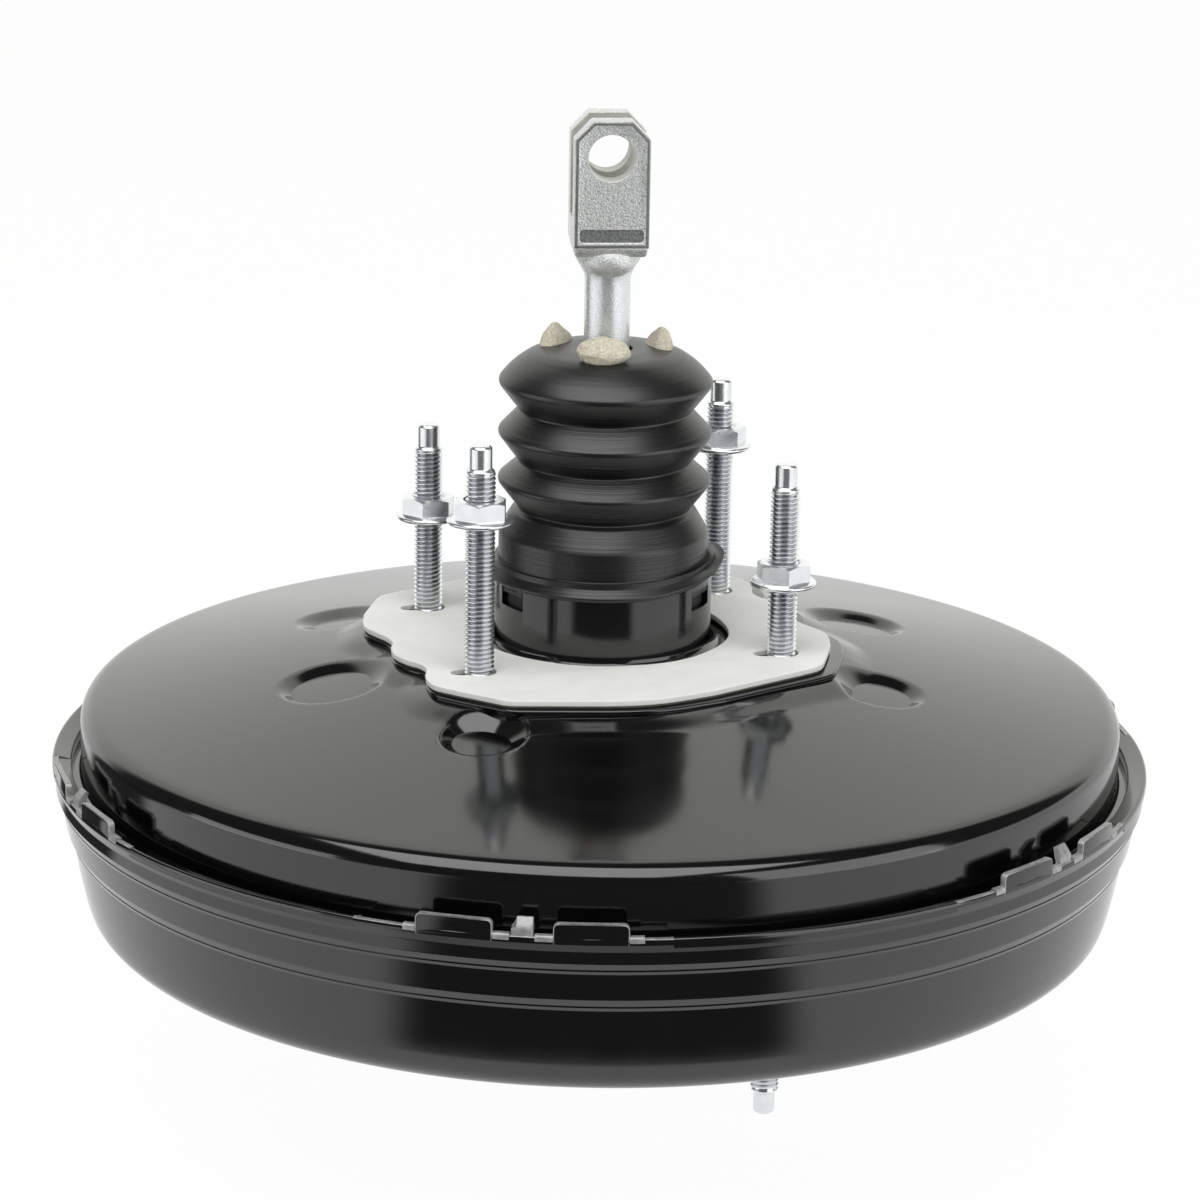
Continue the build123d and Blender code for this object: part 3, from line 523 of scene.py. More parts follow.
neckProfile = [
    (27.9, -4.0, 0), (27.9, 21.0, 0.4), (29.7, 21.0, 0.7), (29.7, -2.2, 2.4), (34.2, -2.2, 0),
    (34.2, -4.0, 0),
]
neck = turn(neckProfile, steps=180)
windows = [block(8, rearShell["windowWidth"], rearShell["windowHigh"] - rearShell["windowLow"],
                 turnAbout(angle) @ move(29.0, 0, (rearShell["windowLow"] + rearShell["windowHigh"]) / 2))
           for angle in rearShell["windowAngles"]]
neck = carve(neck, windows)
joinInto(dome, neck)
newPiece("rearShell", dome, [blackPaint], "housing", ["rear_shell"], 30)
print("rear shell done")

# front shell: bowl, folded rim with six locking groups, pad for the master cylinder
frontShell = {
    "groupStart": 6.7, "groups": 6, "recess": 15.3, "tabs": ((-9.0, -1.6), (4.1, 11.2)),
    "strips": ((-10.2, -9.0), (-1.6, 0.0), (2.4, 4.1), (11.2, 12.6)), "tabFoot": -35.0, "tabTop": -29.7,
    "tabCorner": 1.4, "tabInside": 148.35, "tabOutside": 150.0, "lipRadius": 149.0,
    "hookAngle": 1.2, "hookWidth": 5.4, "hookWaist": -31.4, "hookNarrow": 0.72, "hookAside": 0.5,
    "padAngle": -36.0, "padLong": 62.0, "padWide": 36.0, "studCircle": 50.7,
}
bowlProfile = [
    (24.0, -107.0, 0), (62.0, -107.0, 1.0), (64.0, -106.0, 1.0), (139.9, -76.4, 3.6), (141.7, -70.6, 1.5),
    (143.2, -63.5, 1.5), (144.9, -54.0, 0.1), (145.4, -53.05, 0), (145.2, -52.9, 0), (145.2, -52.65, 0),
    (145.5, -52.55, 0), (146.5, -50.6, 0.15), (147.8, -43.4, 0.1), (148.25, -42.5, 0), (148.05, -42.35, 0),
    (148.05, -42.1, 0), (148.3, -42.0, 0), (149.2, -40.2, 0.15), (149.0, -37.3, 0.2), (149.98, -34.9, 0.2),
    (149.98, -34.2, 0), (149.7, -33.5, 0.2), (148.2, -33.5, 0.1), (148.2, -33.9, 0), (144.8, -34.6, 0.3),
    (144.8, -37.0, 0.2), (147.2, -37.0, 0), (147.0, -44.0, 0), (144.0, -44.0, 0), (143.9, -51.0, 0),
    (143.2, -53.4, 0), (141.2, -62.0, 0), (138.8, -74.7, 4), (63.6, -103.9, 0), (61.2, -105.0, 0),
    (24.0, -105.0, 0),
]
bowl = turn(bowlProfile, steps=360)
for face in bowl.faces:
    centre = face.calc_center_median()
    if centre.z > -33.8 * mm and face.normal.z > 0.5 and hypot(centre.x, centre.y) > 148.1 * mm:
        face.material_index = 1

foldProfile = [
    (149.9, -35.8, 0), (149.95, -33.0, 1.1), (144.8, -34.5, 0.5), (144.8, -36.9, 0.5), (148.2, -36.6, 0),
]
stripProfile = [
    (148.2, -34.7, 0), (148.2, -32.9, 0.25), (150.05, -32.9, 0.7), (150.05, -34.5, 0.2), (149.6, -34.7, 0),
]
hookProfile = [
    (149.3, -35.0, 0), (149.3, -31.6, 0.9), (147.2, -29.0, 0.5), (146.2, -29.6, 0.2), (147.9, -32.2, 0.8),
    (147.9, -35.0, 0),
]


def curvedTab(first, last):
    # an upright tab with rounded corners, bent round the lip; its edge faces and rounded rim are coloured as
    # bare cut steel, which also paints the highlight along its outline
    low, high, corner = frontShell["tabFoot"], frontShell["tabTop"], frontShell["tabCorner"]
    inside, outside = frontShell["tabInside"], frontShell["tabOutside"]
    wide = radians(last - first) * frontShell["lipRadius"]
    points = [(0, low)]
    for k in range(6):
        angle = radians(18 * k)
        points.append((corner - corner * cos(angle), high - corner + corner * sin(angle)))
    points += [(wide * k / 8, high) for k in range(1, 8)]
    for k in range(6):
        angle = radians(90 - 18 * k)
        points.append((wide - corner + corner * cos(angle), high - corner + corner * sin(angle)))
    points.append((wide, low))
    tab = bmesh.new()
    inner = [tab.verts.new((inside, along, z)) for along, z in points]
    outer = [tab.verts.new((outside, along, z)) for along, z in points]
    count = len(points)
    for k in range(count):
        side = tab.faces.new((inner[k], outer[k], outer[(k + 1) % count], inner[(k + 1) % count]))
        side.material_index = 1
    for row in (inner, outer):
        tab.faces.new((row[0], row[1], row[count - 2], row[count - 1]))
        for k in range(1, count // 2):
            if count - 2 - k > k + 1:
                tab.faces.new((row[k], row[k + 1], row[count - 2 - k], row[count - 1 - k]))
    bmesh.ops.recalc_face_normals(tab, faces=tab.faces)
    rim = [e for e in tab.edges if min(v.co.x for v in e.verts) > outside - 0.2
           and any(abs(face.normal.x) < 0.5 for face in e.link_faces)
           and max(v.co.z for v in e.verts) > low + 0.5]
    roundEdges(tab, rim, 0.26, 3, 0.5, 1)
    for vert in tab.verts:
        turned = radians(first) + vert.co.y / frontShell["lipRadius"]
        vert.co = Vector((vert.co.x * cos(turned), vert.co.x * sin(turned), vert.co.z)) * mm
    cleanUp(tab)
    return tab


for group in range(frontShell["groups"]):
    centre = frontShell["groupStart"] + 60 * group
    fold = turn(foldProfile, steps=30, start=centre + frontShell["recess"],
                sweep=60 - 2 * frontShell["recess"])
    for face in fold.faces:
        if abs(face.normal.z) < 0.2 and len(face.verts) > 6:
            face.material_index = 1
    joinInto(bowl, fold)
    for first, last in frontShell["tabs"]:
        joinInto(bowl, curvedTab(centre + first, centre + last))
    for first, last in frontShell["strips"]:
        strip = turn(stripProfile, steps=10, start=centre + first, sweep=last - first)
        paintFaces(strip, 1)
        joinInto(bowl, strip)
    hook = bmesh.new()
    outlineWire(hook, hookProfile)
    bmesh.ops.contextual_create(hook, geom=hook.edges)
    pullFaces(hook, 0, frontShell["hookWidth"], 0)
    bmesh.ops.translate(hook, vec=(0, -frontShell["hookWidth"] / 2 * mm, 0), verts=hook.verts)
    # narrower and a little to one side above its waist
    for vert in hook.verts:
        if vert.co.z > frontShell["hookWaist"] * mm:
            vert.co.y = vert.co.y * frontShell["hookNarrow"] + frontShell["hookAside"] * mm
    cleanUp(hook)
    paintFaces(hook, 1)
    joinInto(bowl, hook, turnAbout(centre + frontShell["hookAngle"]))

padWide = frontShell["padWide"]
arcSide = frontShell["padLong"] - padWide
padOutline = []
for side, start in ((1, -90), (-1, 90)):
    for k in range(7):
        angle = radians(start + 30 * k)
        padOutline.append((side * arcSide + padWide * cos(angle), padWide * sin(angle), "AUTO"))
    padOutline.append((0, side * padWide, "VECTOR"))
padHoles = [circlePoints(0, 0, 23.0), circlePoints(frontShell["studCircle"], 0, 5.0),
            circlePoints(-frontShell["studCircle"], 0, 5.0)]
padTurn = turnAbout(frontShell["padAngle"])
joinInto(bowl, flatPlate(padOutline, padHoles, -115.0, -113.0, roundEdge=0.5), padTurn)
joinInto(bowl, flatPlate(padOutline, [circlePoints(0, 0, 34.0)], -114.0, -105.5), padTurn)
newPiece("frontShell", bowl, [blackPaint, bareSteelAndGlint], "housing", ["front_shell"], 30)
print("front shell done")

# mounting gasket
gasketSettings = {"shift": -1.9, "hole": 34.5, "slotRound": 4.6, "slotReach": 5.3, "slotEnd": 2.4,
                  "face": 1.5, "thick": 2.2, "underShadeInset": 0.8}
studPlaces = {"rearLeft": (-41.8, 31.05), "frontLeft": (-41.8, -31.05),
              "frontRight": (41.8, -31.05), "rearRight": (41.8, 31.05)}


def slotPoints(x, y):
    big = gasketSettings["slotRound"]
    reach = gasketSettings["slotReach"]
    small = gasketSettings["slotEnd"]
    points = [(x + big * cos(radians(a)), y + big * sin(radians(a)), "AUTO") for a in range(-144, 145, 36)]
    points += [(x - reach + small * cos(radians(a)), y + small * sin(radians(a)), "AUTO")
               for a in range(100, 261, 40)]
    return points


gasketHoles = [circlePoints(0, 0, gasketSettings["hole"])]
gasketHoles += [slotPoints(x, y) for x, y in studPlaces.values()]
gasketShift = (gasketSettings["shift"], 0)
gasketBm = flatPlate(platformOutline, gasketHoles, -gasketSettings["face"], 0.0, roundEdge=0.2,
                     shift=gasketShift)
# the lower layer is set in under the face and painted dark as the shadow beneath the gasket's edge
core = flatPlate(platformOutline, gasketHoles, -gasketSettings["thick"], -gasketSettings["face"] + 0.05,
                 shift=gasketShift, inset=gasketSettings["underShadeInset"])
paintFaces(core, 1)
joinInto(gasketBm, core)
newPiece("gasketPiece", gasketBm, [gasketBoard, gasketUnderShade], "housing",
         ["mounting_gasket"], 30)
print("gasket done")


# studs with a real thread
thread = {"pitch": 1.25, "core": 3.28, "crest": 3.95, "stepsPerTurn": 28}


def threadRidge(low, high):
    # one ridge of the thread, spun up the stud
    bm = bmesh.new()
    pitch, coreRadius, crestRadius, stepsPerTurn = thread.values()
    half = pitch * 0.36
    flat = pitch * 0.10
    points = [(coreRadius, -half), (crestRadius, -flat), (crestRadius, flat), (coreRadius, half)]
    verts = [bm.verts.new((r * mm, 0, (low + half + z) * mm)) for r, z in points]
    for a, b in zip(verts, verts[1:] + verts[:1]):
        bm.edges.new((a, b))
    turns = (high - low - 2 * half) / pitch
    steps = int(turns * stepsPerTurn)
    bmesh.ops.spin(bm, geom=bm.verts[:] + bm.edges[:], cent=(0, 0, 0), axis=(0, 0, 1),
                   dvec=(0, 0, pitch * mm / stepsPerTurn), angle=2 * pi * steps / stepsPerTurn, steps=steps,
                   use_merge=False, use_duplicate=False)
    bmesh.ops.holes_fill(bm, edges=[e for e in bm.edges if e.is_boundary], sides=0)
    cleanUp(bm)
    return bm


def studMesh(seat, headTop, tip):
    # seat is the face it stands in, tip its far end
    way = 1 if tip > seat else -1
    profile = [
        (0, headTop - way * 3.0, 0), (9.0, headTop - way * 3.0, 0.5), (9.0, headTop, 0.2), (4.95, headTop, 0),
        (4.95, seat - way * 2.3, 0.1), (3.9, seat - way * 2.3, 0), (3.9, seat - way * 0.2, 0.2),
        (3.3, seat + way * 0.3, 0), (3.3, tip - way * 8.0, 0), (3.75, tip - way * 7.2, 0.1),
        (3.75, tip - way * 6.8, 0.2),
        (3.0, tip - way * 6.1, 0.3), (3.0, tip - way * 0.7, 0.2), (2.4, tip, 0.3), (0, tip, 0),
    ]
    bm = turn(profile, steps=64, closed=False)
    # the core between the thread turns is painted darker as shade
    for face in bm.faces:
        centre = face.calc_center_median()
        if hypot(centre.x, centre.y) < 3.35 * mm and abs(centre.z - tip * mm) > 8.0 * mm:
            face.material_index = 1
    ends = sorted((seat - way * 0.3, tip - way * 7.0))
    joinInto(bm, threadRidge(ends[0], ends[1]))
    return bm


studSets = {
    "shortStuds": {"node": "rear_studs_short", "places": ("rearLeft", "frontRight"), "tip": 52.4},
    "longStuds": {"node": "rear_studs_long", "places": ("frontLeft", "rearRight"), "tip": 61.5},
}
for name, settings in studSets.items():
    pair = bmesh.new()
    for place in settings["places"]:
        x, y = studPlaces[place]
        joinInto(pair, studMesh(0.0, -6.5, settings["tip"]), move(x, y, 0))
    newPiece(name, pair, [brightZinc, shadedRootZinc], "housing", [settings["node"]], 30)
pair = bmesh.new()
for side in (1, -1):
    joinInto(pair, studMesh(-115.0, -110.0, -134.1), padTurn @ move(side * frontShell["studCircle"], 0, 0))
newPiece("cylinderStuds", pair, [brightZinc, shadedRootZinc], "housing", ["front_studs"], 30)
print("studs done")

# flange nuts
nutSettings = {
    "flats": 13.0, "height": 6.5, "flange": 8.95,
    "nuts": {
        "flange_nut_1": ("rearLeft", 25.6, -115.0, "nut_rear_left"),
        "flange_nut_2": ("frontLeft", 40.5, -106.0, "nut_front_left"),
        "flange_nut_3": ("frontRight", 18.9, -96.0, "nut_front_right"),
        "flange_nut_4": ("rearRight", 41.6, -125.0, "nut_rear_right"),
    },
}


def nutMesh(cornerAngle):
    height = nutSettings["height"]
    corner = nutSettings["flats"] / 2 / cos(radians(30))
    hexagon = bmesh.new()
    bmesh.ops.create_cone(hexagon, cap_ends=True, segments=6, radius1=corner * mm, radius2=corner * mm,
                          depth=(height - 0.4) * mm, matrix=move(0, 0, (height + 0.4) / 2))
    # the primitive's first corner lies on +Y
    bmesh.ops.rotate(hexagon, verts=hexagon.verts, cent=(0, 0, 0),
                     matrix=Matrix.Rotation(radians(cornerAngle - 90), 3, "Z"))
    chamfer = turn([(0, 0, 0), (9.5, 0, 0), (9.5, height - 1.9, 0), (6.2, height, 0), (0, height, 0)],
                   steps=72, closed=False)
    hexagon = carve(hexagon, [chamfer], "INTERSECT")
    flange = turn([(0, 0, 0), (8.2, 0, 0.2), (nutSettings["flange"], 0.5, 0.35), (8.8, 1.25, 0.4),
                   (7.4, 1.6, 0.3), (4.0, 1.9, 0), (0, 1.9, 0)], steps=72, closed=False)
    hexagon = carve(hexagon, [flange], "UNION")
    bore = turn([(0, -0.5, 0), (4.9, -0.5, 0), (4.0, 0.7, 0), (4.0, height - 0.75, 0), (4.9, height + 0.4, 0),
                 (0, height + 0.4, 0)], steps=48, closed=False)
    return carve(hexagon, [bore])


for node, (place, low, cornerAngle, body) in nutSettings["nuts"].items():
    nut = nutMesh(cornerAngle)
    x, y = studPlaces[place]
    bmesh.ops.translate(nut, vec=(x * mm, y * mm, low * mm), verts=nut.verts)
    piece = newPiece("nut." + place, nut, [brightZinc], body, [node], 25)
    addBevel(piece, 0.18, 30)
print("nuts done")

# clevis rod
clevis = {
    "azimuth": 79.63, "width": 20.1, "thick": 22.4, "slot": 8.8, "low": 105.0, "top": 141.8, "faceLow": 107.9,
    "slotFloor": 114.6, "cornerWide": 4.8, "cornerHigh": 5.0, "pin": 6.2, "pinHigh": 132.1, "pinSide": -0.25,
    "barLow": 109.5, "barHigh": 113.0, "shank": 6.15, "bevel": 0.85, "rootShare": 0.985,
    "rootTaper": (0.96, 0.80), "swell": (7.0, 5.2, 4.6), "swellAside": 5.4, "swellHigh": 103.9,
}
clevisTurn = turnAbout(clevis["azimuth"] - 90)
half = clevis["width"] / 2
head = bmesh.new()
corners = [(-half, clevis["faceLow"]), (half, clevis["faceLow"]),
           (half, clevis["top"] - clevis["cornerHigh"]), (half - clevis["cornerWide"], clevis["top"]),
           (clevis["cornerWide"] - half, clevis["top"]), (-half, clevis["top"] - clevis["cornerHigh"])]
headVerts = [head.verts.new((x * mm, -clevis["thick"] / 2 * mm, z * mm)) for x, z in corners]
head.faces.new(headVerts)
pullFaces(head, 0, clevis["thick"], 0)
cleanUp(head)
roundEdges(head, [e for e in head.edges if abs(e.verts[0].co.y - e.verts[1].co.y) < 1e-6],
           clevis["bevel"] * mm, 2, 0.6)
# a fine raised border round both cheeks; the faces of its step are painted dark as a line of shade
cheeks = [face for face in head.faces if abs(face.normal.y) > 0.99]
bmesh.ops.inset_region(head, faces=cheeks, thickness=0.2 * mm, depth=-0.1 * mm, use_even_offset=True)
pinPlace = move(clevis["pinSide"], 0, clevis["pinHigh"]) @ Matrix.Rotation(radians(90), 4, "X")
cutSlot = block(30, clevis["slot"], 40, move(0, 0, clevis["slotFloor"] + 20))
cutPin = bmesh.new()
bmesh.ops.create_cone(cutPin, cap_ends=True, segments=96, radius1=clevis["pin"] * mm,
                      radius2=clevis["pin"] * mm, depth=40 * mm, matrix=pinPlace)
# a shallow bar sunk across the front cheek; its floor is painted dark as shade
cutBar = block(clevis["width"] - 3.0, 2.0, clevis["barHigh"] - clevis["barLow"],
               move(0, -clevis["thick"] / 2 - 0.5, (clevis["barLow"] + clevis["barHigh"]) / 2))
roundEdges(cutBar, [e for e in cutBar.edges if abs(e.verts[0].co.y - e.verts[1].co.y) > 1e-6],
           1.1 * mm, 4, 0.5)
head = carve(head, [cutSlot, cutPin, cutBar])
for face in head.faces:
    x, y, z = face.calc_center_median() / mm
    inSlot = abs(y) < clevis["slot"] / 2 + 0.05 and z > clevis["slotFloor"] - 0.1 and abs(face.normal.y) > 0.9
    inPin = abs(hypot(x - clevis["pinSide"], z - clevis["pinHigh"]) - clevis["pin"]) < 0.1
    under = clevis["thick"] / 2 - abs(y)
    if inSlot or inPin:
        face.material_index = 1
    elif abs(y + clevis["thick"] / 2 - 0.5) < 0.1 and clevis["barLow"] < z < clevis["barHigh"]:
        face.material_index = 2
    elif 0.01 < under < 0.11 and 0.8 < abs(face.normal.y) < 0.97:
        face.material_index = 3
placeMesh(head, clevisTurn)

# the forged root flows from the square block into the round shank
root = bmesh.new()
bmesh.ops.create_grid(root, x_segments=1, y_segments=1, size=0.5)
rootShare = clevis["rootShare"]
bmesh.ops.scale(root, vec=(clevis["width"] * rootShare * mm, clevis["thick"] * rootShare * mm, 1),
                verts=root.verts)
bmesh.ops.translate(root, vec=(0, 0, clevis["faceLow"] * mm + 0.0002), verts=root.verts)
lowerVerts = pullFaces(root, 0, 0, clevis["low"] - clevis["faceLow"])
bmesh.ops.scale(root, vec=(*clevis["rootTaper"], 1), verts=lowerVerts)
cleanUp(root)
roundEdges(root, root.edges[:], 0.7 * mm, 2, 0.5)
placeMesh(root, clevisTurn)
joinInto(head, root)
for side in (-1, 1):
    swell = bmesh.new()
    bmesh.ops.create_uvsphere(swell, u_segments=48, v_segments=24, radius=1.0)
    scaleMesh(swell, *clevis["swell"])
    joinInto(head, swell, clevisTurn @ move(0.2, side * clevis["swellAside"], clevis["swellHigh"]))
shankProfile = [
    (0, -4.0, 0), (4.2, -2.3, 0), (6.0, 2.0, 2.4), (4.2, 6.4, 0.6), (4.2, 38.4, 0), (10.4, 38.4, 0),
    (10.4, 39.6, 0), (4.2, 39.6, 0), (clevis["shank"], 56.0, 1.0), (clevis["shank"], 99.6, 2.0),
    (9.3, 104.2, 2.6), (9.6, 107.2, 1.0), (0, 107.4, 0),
]
shank = turn(shankProfile, steps=96, closed=False)
for face in shank.faces:
    if face.calc_center_median().z < 100 * mm:
        face.material_index = 4
joinInto(head, shank)
rodPiece = newPiece("clevisRod", head, [forgedZinc, clevisBore, paintedShadeBar, paintedShadeLine, shankZinc],
                    "pedal_rod", ["input_rod"], 30)
addBevel(rodPiece, 0.25, 38)
print("clevis rod done")

# boot: cuff on the neck, bellows, foam petals
bellowsProfile = [
    (7.0, 77.4, 0.3), (7.0, 79.0, 0.4), (12.0, 79.0, 1.0), (19.8, 78.3, 2.6), (25.4, 74.6, 2.6),
    (29.35, 70.0, 1.4), (23.4, 62.3, 0.5), (29.35, 56.1, 1.2), (23.4, 48.2, 0.5), (29.35, 43.0, 1.2),
    (23.5, 35.4, 0.5), (24.9, 34.5, 0.2), (25.3, 34.0, 0.1), (27.7, 30.0, 0), (26.5, 30.0, 0),
    (21.9, 34.6, 1.0), (27.4, 43.0, 0.8), (21.9, 48.6, 1.0), (27.4, 56.1, 0.8), (21.9, 62.6, 1.0),
    (27.2, 70.0, 1.0), (24.0, 72.8, 1.0), (19.0, 76.3, 1.0), (12.0, 77.2, 0.6),
]
bellows = newPiece("bootBellows", turn(bellowsProfile, steps=160), [bootRubber], "housing",
                   ["boot"], 50)
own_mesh(bellows)
cuffProfile = [
    (27.7, 30.0, 0), (28.5, 28.6, 0.7), (28.6, 21.2, 0.15), (31.4, 17.3, 0.25), (31.2, 16.4, 0.2),
    (29.9, 16.2, 0), (29.76, 21.05, 0), (26.9, 21.05, 0), (26.5, 30.0, 0),
]
cuff = turn(cuffProfile, steps=160)
# the lip is turned up a little on one side
lip = {"inside": 28.7, "wide": 2.6, "angle": -10.0, "lift": 4.8, "flare": 0.055}
for vert in cuff.verts:
    radius = hypot(vert.co.x, vert.co.y)
    out = min(max((radius / mm - lip["inside"]) / lip["wide"], 0.0), 1.0)
    towards = max(cos(atan2(vert.co.y, vert.co.x) - radians(lip["angle"])), 0.0) ** 3
    vert.co.z += lip["lift"] * mm * out * towards
    vert.co.x *= 1 + lip["flare"] * out * towards
    vert.co.y *= 1 + lip["flare"] * out * towards
newPiece("bootCuff", cuff, [bootRubber], "housing", ["boot"], 50)

# angle, distance from the middle, middle height, half height, half depth, half width
petalSettings = [(-108.0, 15.6, 81.2, 4.0, 4.4, 7.1), (4.0, 14.6, 75.6, 8.2, 3.8, 7.2),
                 (137.0, 15.2, 77.0, 6.9, 3.6, 6.8)]
petals = turn([(6.2, 63.0, 0.3), (19.0, 63.0, 0.5), (19.0, 67.0, 0.5), (6.2, 67.0, 0.3)], steps=64)
for angle, reach, middle, high, deep, wide in petalSettings:
    petal = bmesh.new()
    bmesh.ops.create_uvsphere(petal, u_segments=40, v_segments=24, radius=1.0)
    for vert in petal.verts:
        pinch = 1.0 - (0.3 if high > 5 else 0.1) * max(vert.co.z, 0.0) ** 2
        vert.co.x *= pinch
        vert.co.y *= pinch
        vert.co *= 1 + noise.noise(vert.co * 2.3 + Vector((angle, 0, 0))) * 0.09
    scaleMesh(petal, deep, wide, high)
    bmesh.ops.rotate(petal, verts=petal.verts, cent=(0, 0, 0), matrix=Matrix.Rotation(radians(12), 3, "Y"))
    bmesh.ops.translate(petal, vec=(reach * mm, 0, middle * mm), verts=petal.verts)
    joinInto(petals, petal, turnAbout(angle))
newPiece("filterPetals", petals, [foam], "pedal_rod", ["boot_filter"], 60)
print("boot done")


# springs
def coilPiece(name, settings, body, node):
    curve = bpy.data.curves.new(name, "CURVE")
    curve.dimensions = "3D"
    curve.bevel_depth = settings["wire"] * mm
    curve.bevel_resolution = 3
    curve.use_fill_caps = True
    spline = curve.splines.new("NURBS")
    turns, perTurn = settings["turns"], 12
    count = turns * perTurn + 1
    spline.points.add(count - 1)
    low = settings["low"] + settings["wire"]
    high = settings["high"] - settings["wire"]
    for k, point in enumerate(spline.points):
        angle = 2 * pi * k / perTurn
        radius = settings["mean"] / cos(pi / perTurn)
        height = low + (high - low) * k / (count - 1)
        point.co = (radius * cos(angle) * mm, radius * sin(angle) * mm, height * mm, 1)
    spline.order_u = 3
    spline.use_endpoint_u = True
    piece = pieceFromMesh(name, meshFromCurve(curve), [springSteel], body, [node], 60)
    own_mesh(piece)


coilPiece("returnSpring", {"mean": 31.0, "wire": 2.1, "low": -110.0, "high": -34.0, "turns": 6},
          "housing", "return_spring")
coilPiece("rodReturnSpring", {"mean": 9.6, "wire": 0.6, "low": 24.2, "high": 37.6, "turns": 5},
          "power_piston", "rod_return_spring")
coilPiece("poppetSpring", {"mean": 13.9, "wire": 0.45, "low": 3.1, "high": 19.6, "turns": 5},
          "power_piston", "poppet_spring")

# diaphragm: a rolled profile between the piston plate and the clamped bead
diaphragmProfile = [
    (20.05, -15.15, 0), (23.9, -15.15, 0), (23.9, -13.95, 0), (62.0, -13.95, 0), (118.0, -21.45, 0),
    (125.0, -23.1, 2.0), (136.2, -36.0, 2.0), (138.4, -40.2, 0.5), (144.2, -43.9, 0.5), (146.9, -43.9, 0.5),
    (146.9, -38.9, 0.5), (140.2, -38.9, 0.3), (138.6, -35.6, 1.0), (127.0, -20.9, 2.0), (119.0, -19.5, 0),
    (62.0, -12.0, 0), (20.05, -12.0, 0),
]
roll = newPiece("diaphragmRoll", turn(diaphragmProfile), [softRubber], None, ["diaphragm"], 50)
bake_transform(roll)

# vacuum check valve and its grommet on the far side
port = {"angle": 78.0, "radius": 98.0, "slope": 21.2, "height": -92.8}
portFrame = (turnAbout(port["angle"]) @ move(port["radius"], 0, port["height"])
             @ Matrix.Rotation(radians(180 - port["slope"]), 4, "Y"))
grommet = turn([(6.05, -5.0, 0.3), (10.4, -5.0, 1.2), (10.4, -2.4, 0.5), (8.65, -2.4, 0.2), (8.65, 0.35, 0.2),
                (12.0, 0.35, 0.5), (12.0, 3.0, 1.0), (6.05, 3.0, 0.3)], steps=72)
placeMesh(grommet, portFrame)
newPiece("portGrommet", grommet, [softRubber], "housing", ["valve_grommet"], 40)
valveBody = turn([(0, -8.0, 0), (5.4, -8.0, 0.3), (6.0, -7.0, 0.3), (6.0, 3.05, 0), (11.0, 3.05, 0.4),
                  (11.0, 5.5, 0.4), (8.0, 7.0, 0.6), (8.0, 15.5, 0.8), (6.5, 17.0, 0.6), (0, 17.0, 0)],
                 steps=72, closed=False)
placeMesh(valveBody, portFrame)
nozzle = turn([(0, 0, 0), (4.6, 0, 0), (4.6, 25.0, 0.2), (5.6, 26.5, 0.3), (4.6, 31.0, 0.2), (4.6, 33.0, 0.3),
               (4.2, 34.0, 0.2), (3.0, 34.0, 0.2), (3.0, 8.0, 0), (0, 8.0, 0)], steps=64, closed=False)
elbowPlace = portFrame @ move(0, 0, 11.0)
outward = turnAbout(port["angle"]) @ Matrix.Rotation(radians(90), 4, "Y")
placeMesh(nozzle, Matrix.Translation(elbowPlace.to_translation()) @ outward)
joinInto(valveBody, nozzle)
newPiece("checkValve", valveBody, [blackPlastic], "housing", ["vacuum_check_valve"], 35)
print("inner and far side pieces done")

# finishes of the solids that stay
nodeFinish = {
    "rear_reinforcement": plainSteel, "front_reinforcement": plainSteel, "rear_seal": softRubber,
    "seal_retainer": blackPlastic, "valve_body": blackPlastic, "air_valve_plunger": plainSteel,
    "valve_key": plainSteel, "poppet_valve": softRubber, "poppet_retainer": plainSteel, "air_filter": foam,
    "reaction_disc": softRubber, "output_rod": brightZinc, "output_rod_retainer": plainSteel,
    "diaphragm_plate": plainSteel,
}
for node, material in nodeFinish.items():
    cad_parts[node].data.materials.append(material)

# stage, light and camera
# the pairs are the values between which a mask turns from nothing to full
stage = {
    "floorHeight": -136.0, "floorSize": 12.0, "front": -105.2, "backWhite": 1.12, "shade": 0.07,
    "slotTurn": (0.80, 0.92), "slotReach": (0.236, 0.252), "darkLeft": -114.0, "leftTurn": (0.955, 0.985),
    "leftReach": (0.30, 0.36), "floorWhite": 1.02, "floorBlack": 0.03, "glowShare": 0.95,
    "backTurn": (-0.50, -0.74), "backRise": (0.90, 0.72), "lowTurn": (0.45, 0.15), "lowRise": (0.20, 0.08),
    "lowSide": (0.0, 0.2),
}


def directionMask(tree, vector, turned=0.0):
    # how far a direction turns away from the front, as the cosine of the turn in plan
    front = radians(stage["front"] + turned)
    flat = addNode(tree, "ShaderNodeVectorMath", {1: (1, 1, 0)}, operation="MULTIPLY")
    unit = addNode(tree, "ShaderNodeVectorMath", operation="NORMALIZE")
    along = addNode(tree, "ShaderNodeVectorMath", {1: (cos(front), sin(front), 0)}, operation="DOT_PRODUCT")
    tree.links.new(vector, flat.inputs[0])
    wire(tree, (flat, "Vector", unit, 0), (unit, "Vector", along, 0))
    return along.outputs["Value"]


def softStep(tree, value, low, high, bottom=0.0, top=1.0):
    step = addNode(tree, "ShaderNodeMapRange",
                   {"From Min": low, "From Max": high, "To Min": bottom, "To Max": top},
                   interpolation_type="SMOOTHSTEP")
    tree.links.new(value, step.inputs["Value"])
    return step.outputs["Result"]


def combine(tree, first, second, operation="MULTIPLY"):
    node = addNode(tree, "ShaderNodeMath", operation=operation)
    tree.links.new(first, node.inputs[0])
    if isinstance(second, float):
        node.inputs[1].default_value = second
    else:
        tree.links.new(second, node.inputs[1])
    return node.outputs["Value"]


